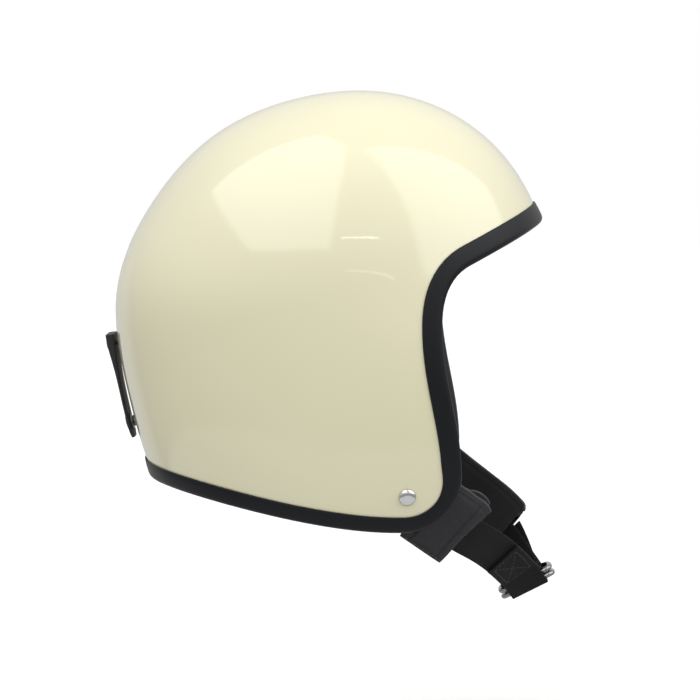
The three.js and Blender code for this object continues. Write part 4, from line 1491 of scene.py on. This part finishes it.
def build_goggle_strap():
    """One leather strap, stitched along both edges of its flap."""
    rings = []
    seam = []
    outs = []
    for degrees in np.linspace(GOGGLE_TOP, GOGGLE_BOTTOM, 70):
        thick = goggle_thickness(degrees)
        half = goggle_half(degrees)
        inner, out = back_point(degrees, goggle_lift(degrees))
        corner = min(GOGGLE_CORNER, thick * 0.35)
        across = np.linspace(-half + corner, half - corner, 15)
        grooves = GROOVE_DEPTH * fading(half - np.abs(across) - SEAM_INSET, SEAM_WIDTH)
        section = [(y, 0.0) for y in across]
        section += [(half, corner), (half, thick - corner)]
        section += [(y, thick - groove) for y, groove in zip(across[::-1], grooves[::-1])]
        section += [(-half, thick - corner), (-half, corner)]
        rings.append([inner + out * up + np.array([0, y, 0]) for y, up in section])
        seam.append(inner + out * (thick - 0.2) + np.array([0, half - SEAM_INSET, 0]))
        outs.append(out)
    strap = loft("goggle_strap", rings, LEATHER, sharp=50)
    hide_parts("goggle_strap_end", "goggle_strap_flap")
    start, _ = back_point(GOGGLE_SPLIT - GOGGLE_BEND, GOGGLE_LIFT)
    end, _ = back_point(GOGGLE_SPLIT + GOGGLE_BEND, GOGGLE_LIFT)
    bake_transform(strap)
    flap = slice(20, 66)
    for tag, side in (("left", 1), ("right", -1)):
        line = np.array(seam)[flap] * (1, side, 1)
        stitches(f"goggle_seam_{tag}", "goggle_flap", line, np.array(outs)[flap], *LEATHER_STITCH)


def build_goggle_fasteners():
    parts = [
        ("goggle_rivet_head", GOGGLE_RIVET, GOGGLE_RIVET_PROFILE, DARK_METAL, "helmet", "dark_metal",
         "goggle_rivet"),
        ("goggle_rivet_ring", GOGGLE_RIVET, GOGGLE_WASHER_PROFILE, STEEL, "helmet", "steel",
         "goggle_rivet_washer"),
        ("goggle_stud", GOGGLE_SNAP, STUD_PROFILE, STEEL, "helmet", "steel", "goggle_snap_stud"),
        ("goggle_stud_ring", GOGGLE_SNAP, GOGGLE_WASHER_PROFILE, STEEL, "helmet", "steel",
         "goggle_stud_washer"),
        ("goggle_socket", GOGGLE_SNAP, SOCKET_PROFILE, STEEL, "goggle_flap", "steel", "goggle_snap_socket"),
        ("goggle_cap", GOGGLE_SNAP, SNAP_CAP_PROFILE, DARK_METAL, "goggle_flap", "dark_metal",
         "goggle_snap_cap"),
    ]
    for name, degrees, profile, material, body, slot, node in parts:
        place, out = back_point(degrees, 0)
        piece = turned(name, profile, place, out, material, segments=40)
        belong(piece, body, slot, node)


bpy.context.scene.view_settings.view_transform = "Standard"
build_camera()
build_world()
build_floor()
build_shell()
build_trim()
build_webbing(-1, right_loop(), "webbing_right", "strap_webbing_right")
build_webbing(1, left_fold(), "webbing_left", "strap_webbing_left")
build_box_stitch(-1, "box_right", STITCHED, 0)
ring_wire("ring_upper", "d_ring_upper", "chin_strap", RING_SPACING / 2, 0.0)
ring_wire("ring_lower", "d_ring_lower", "lower_ring", -RING_SPACING / 2, -LOWER_RING_TILT)

build_liner()
build_crown_pad()
build_head_band()
build_neck_roll()
build_cheek_pad(-1, "cheek_pad_right")
build_cheek_pad(1, "cheek_pad_left")
build_chin_rivet(-1, "right")
build_chin_rivet(1, "left")
build_cover(-1, "right", *RIGHT_COVER)
build_cover(1, "left", *LEFT_COVER)
build_backing()
build_snap()
build_goggle_strap()
build_goggle_fasteners()
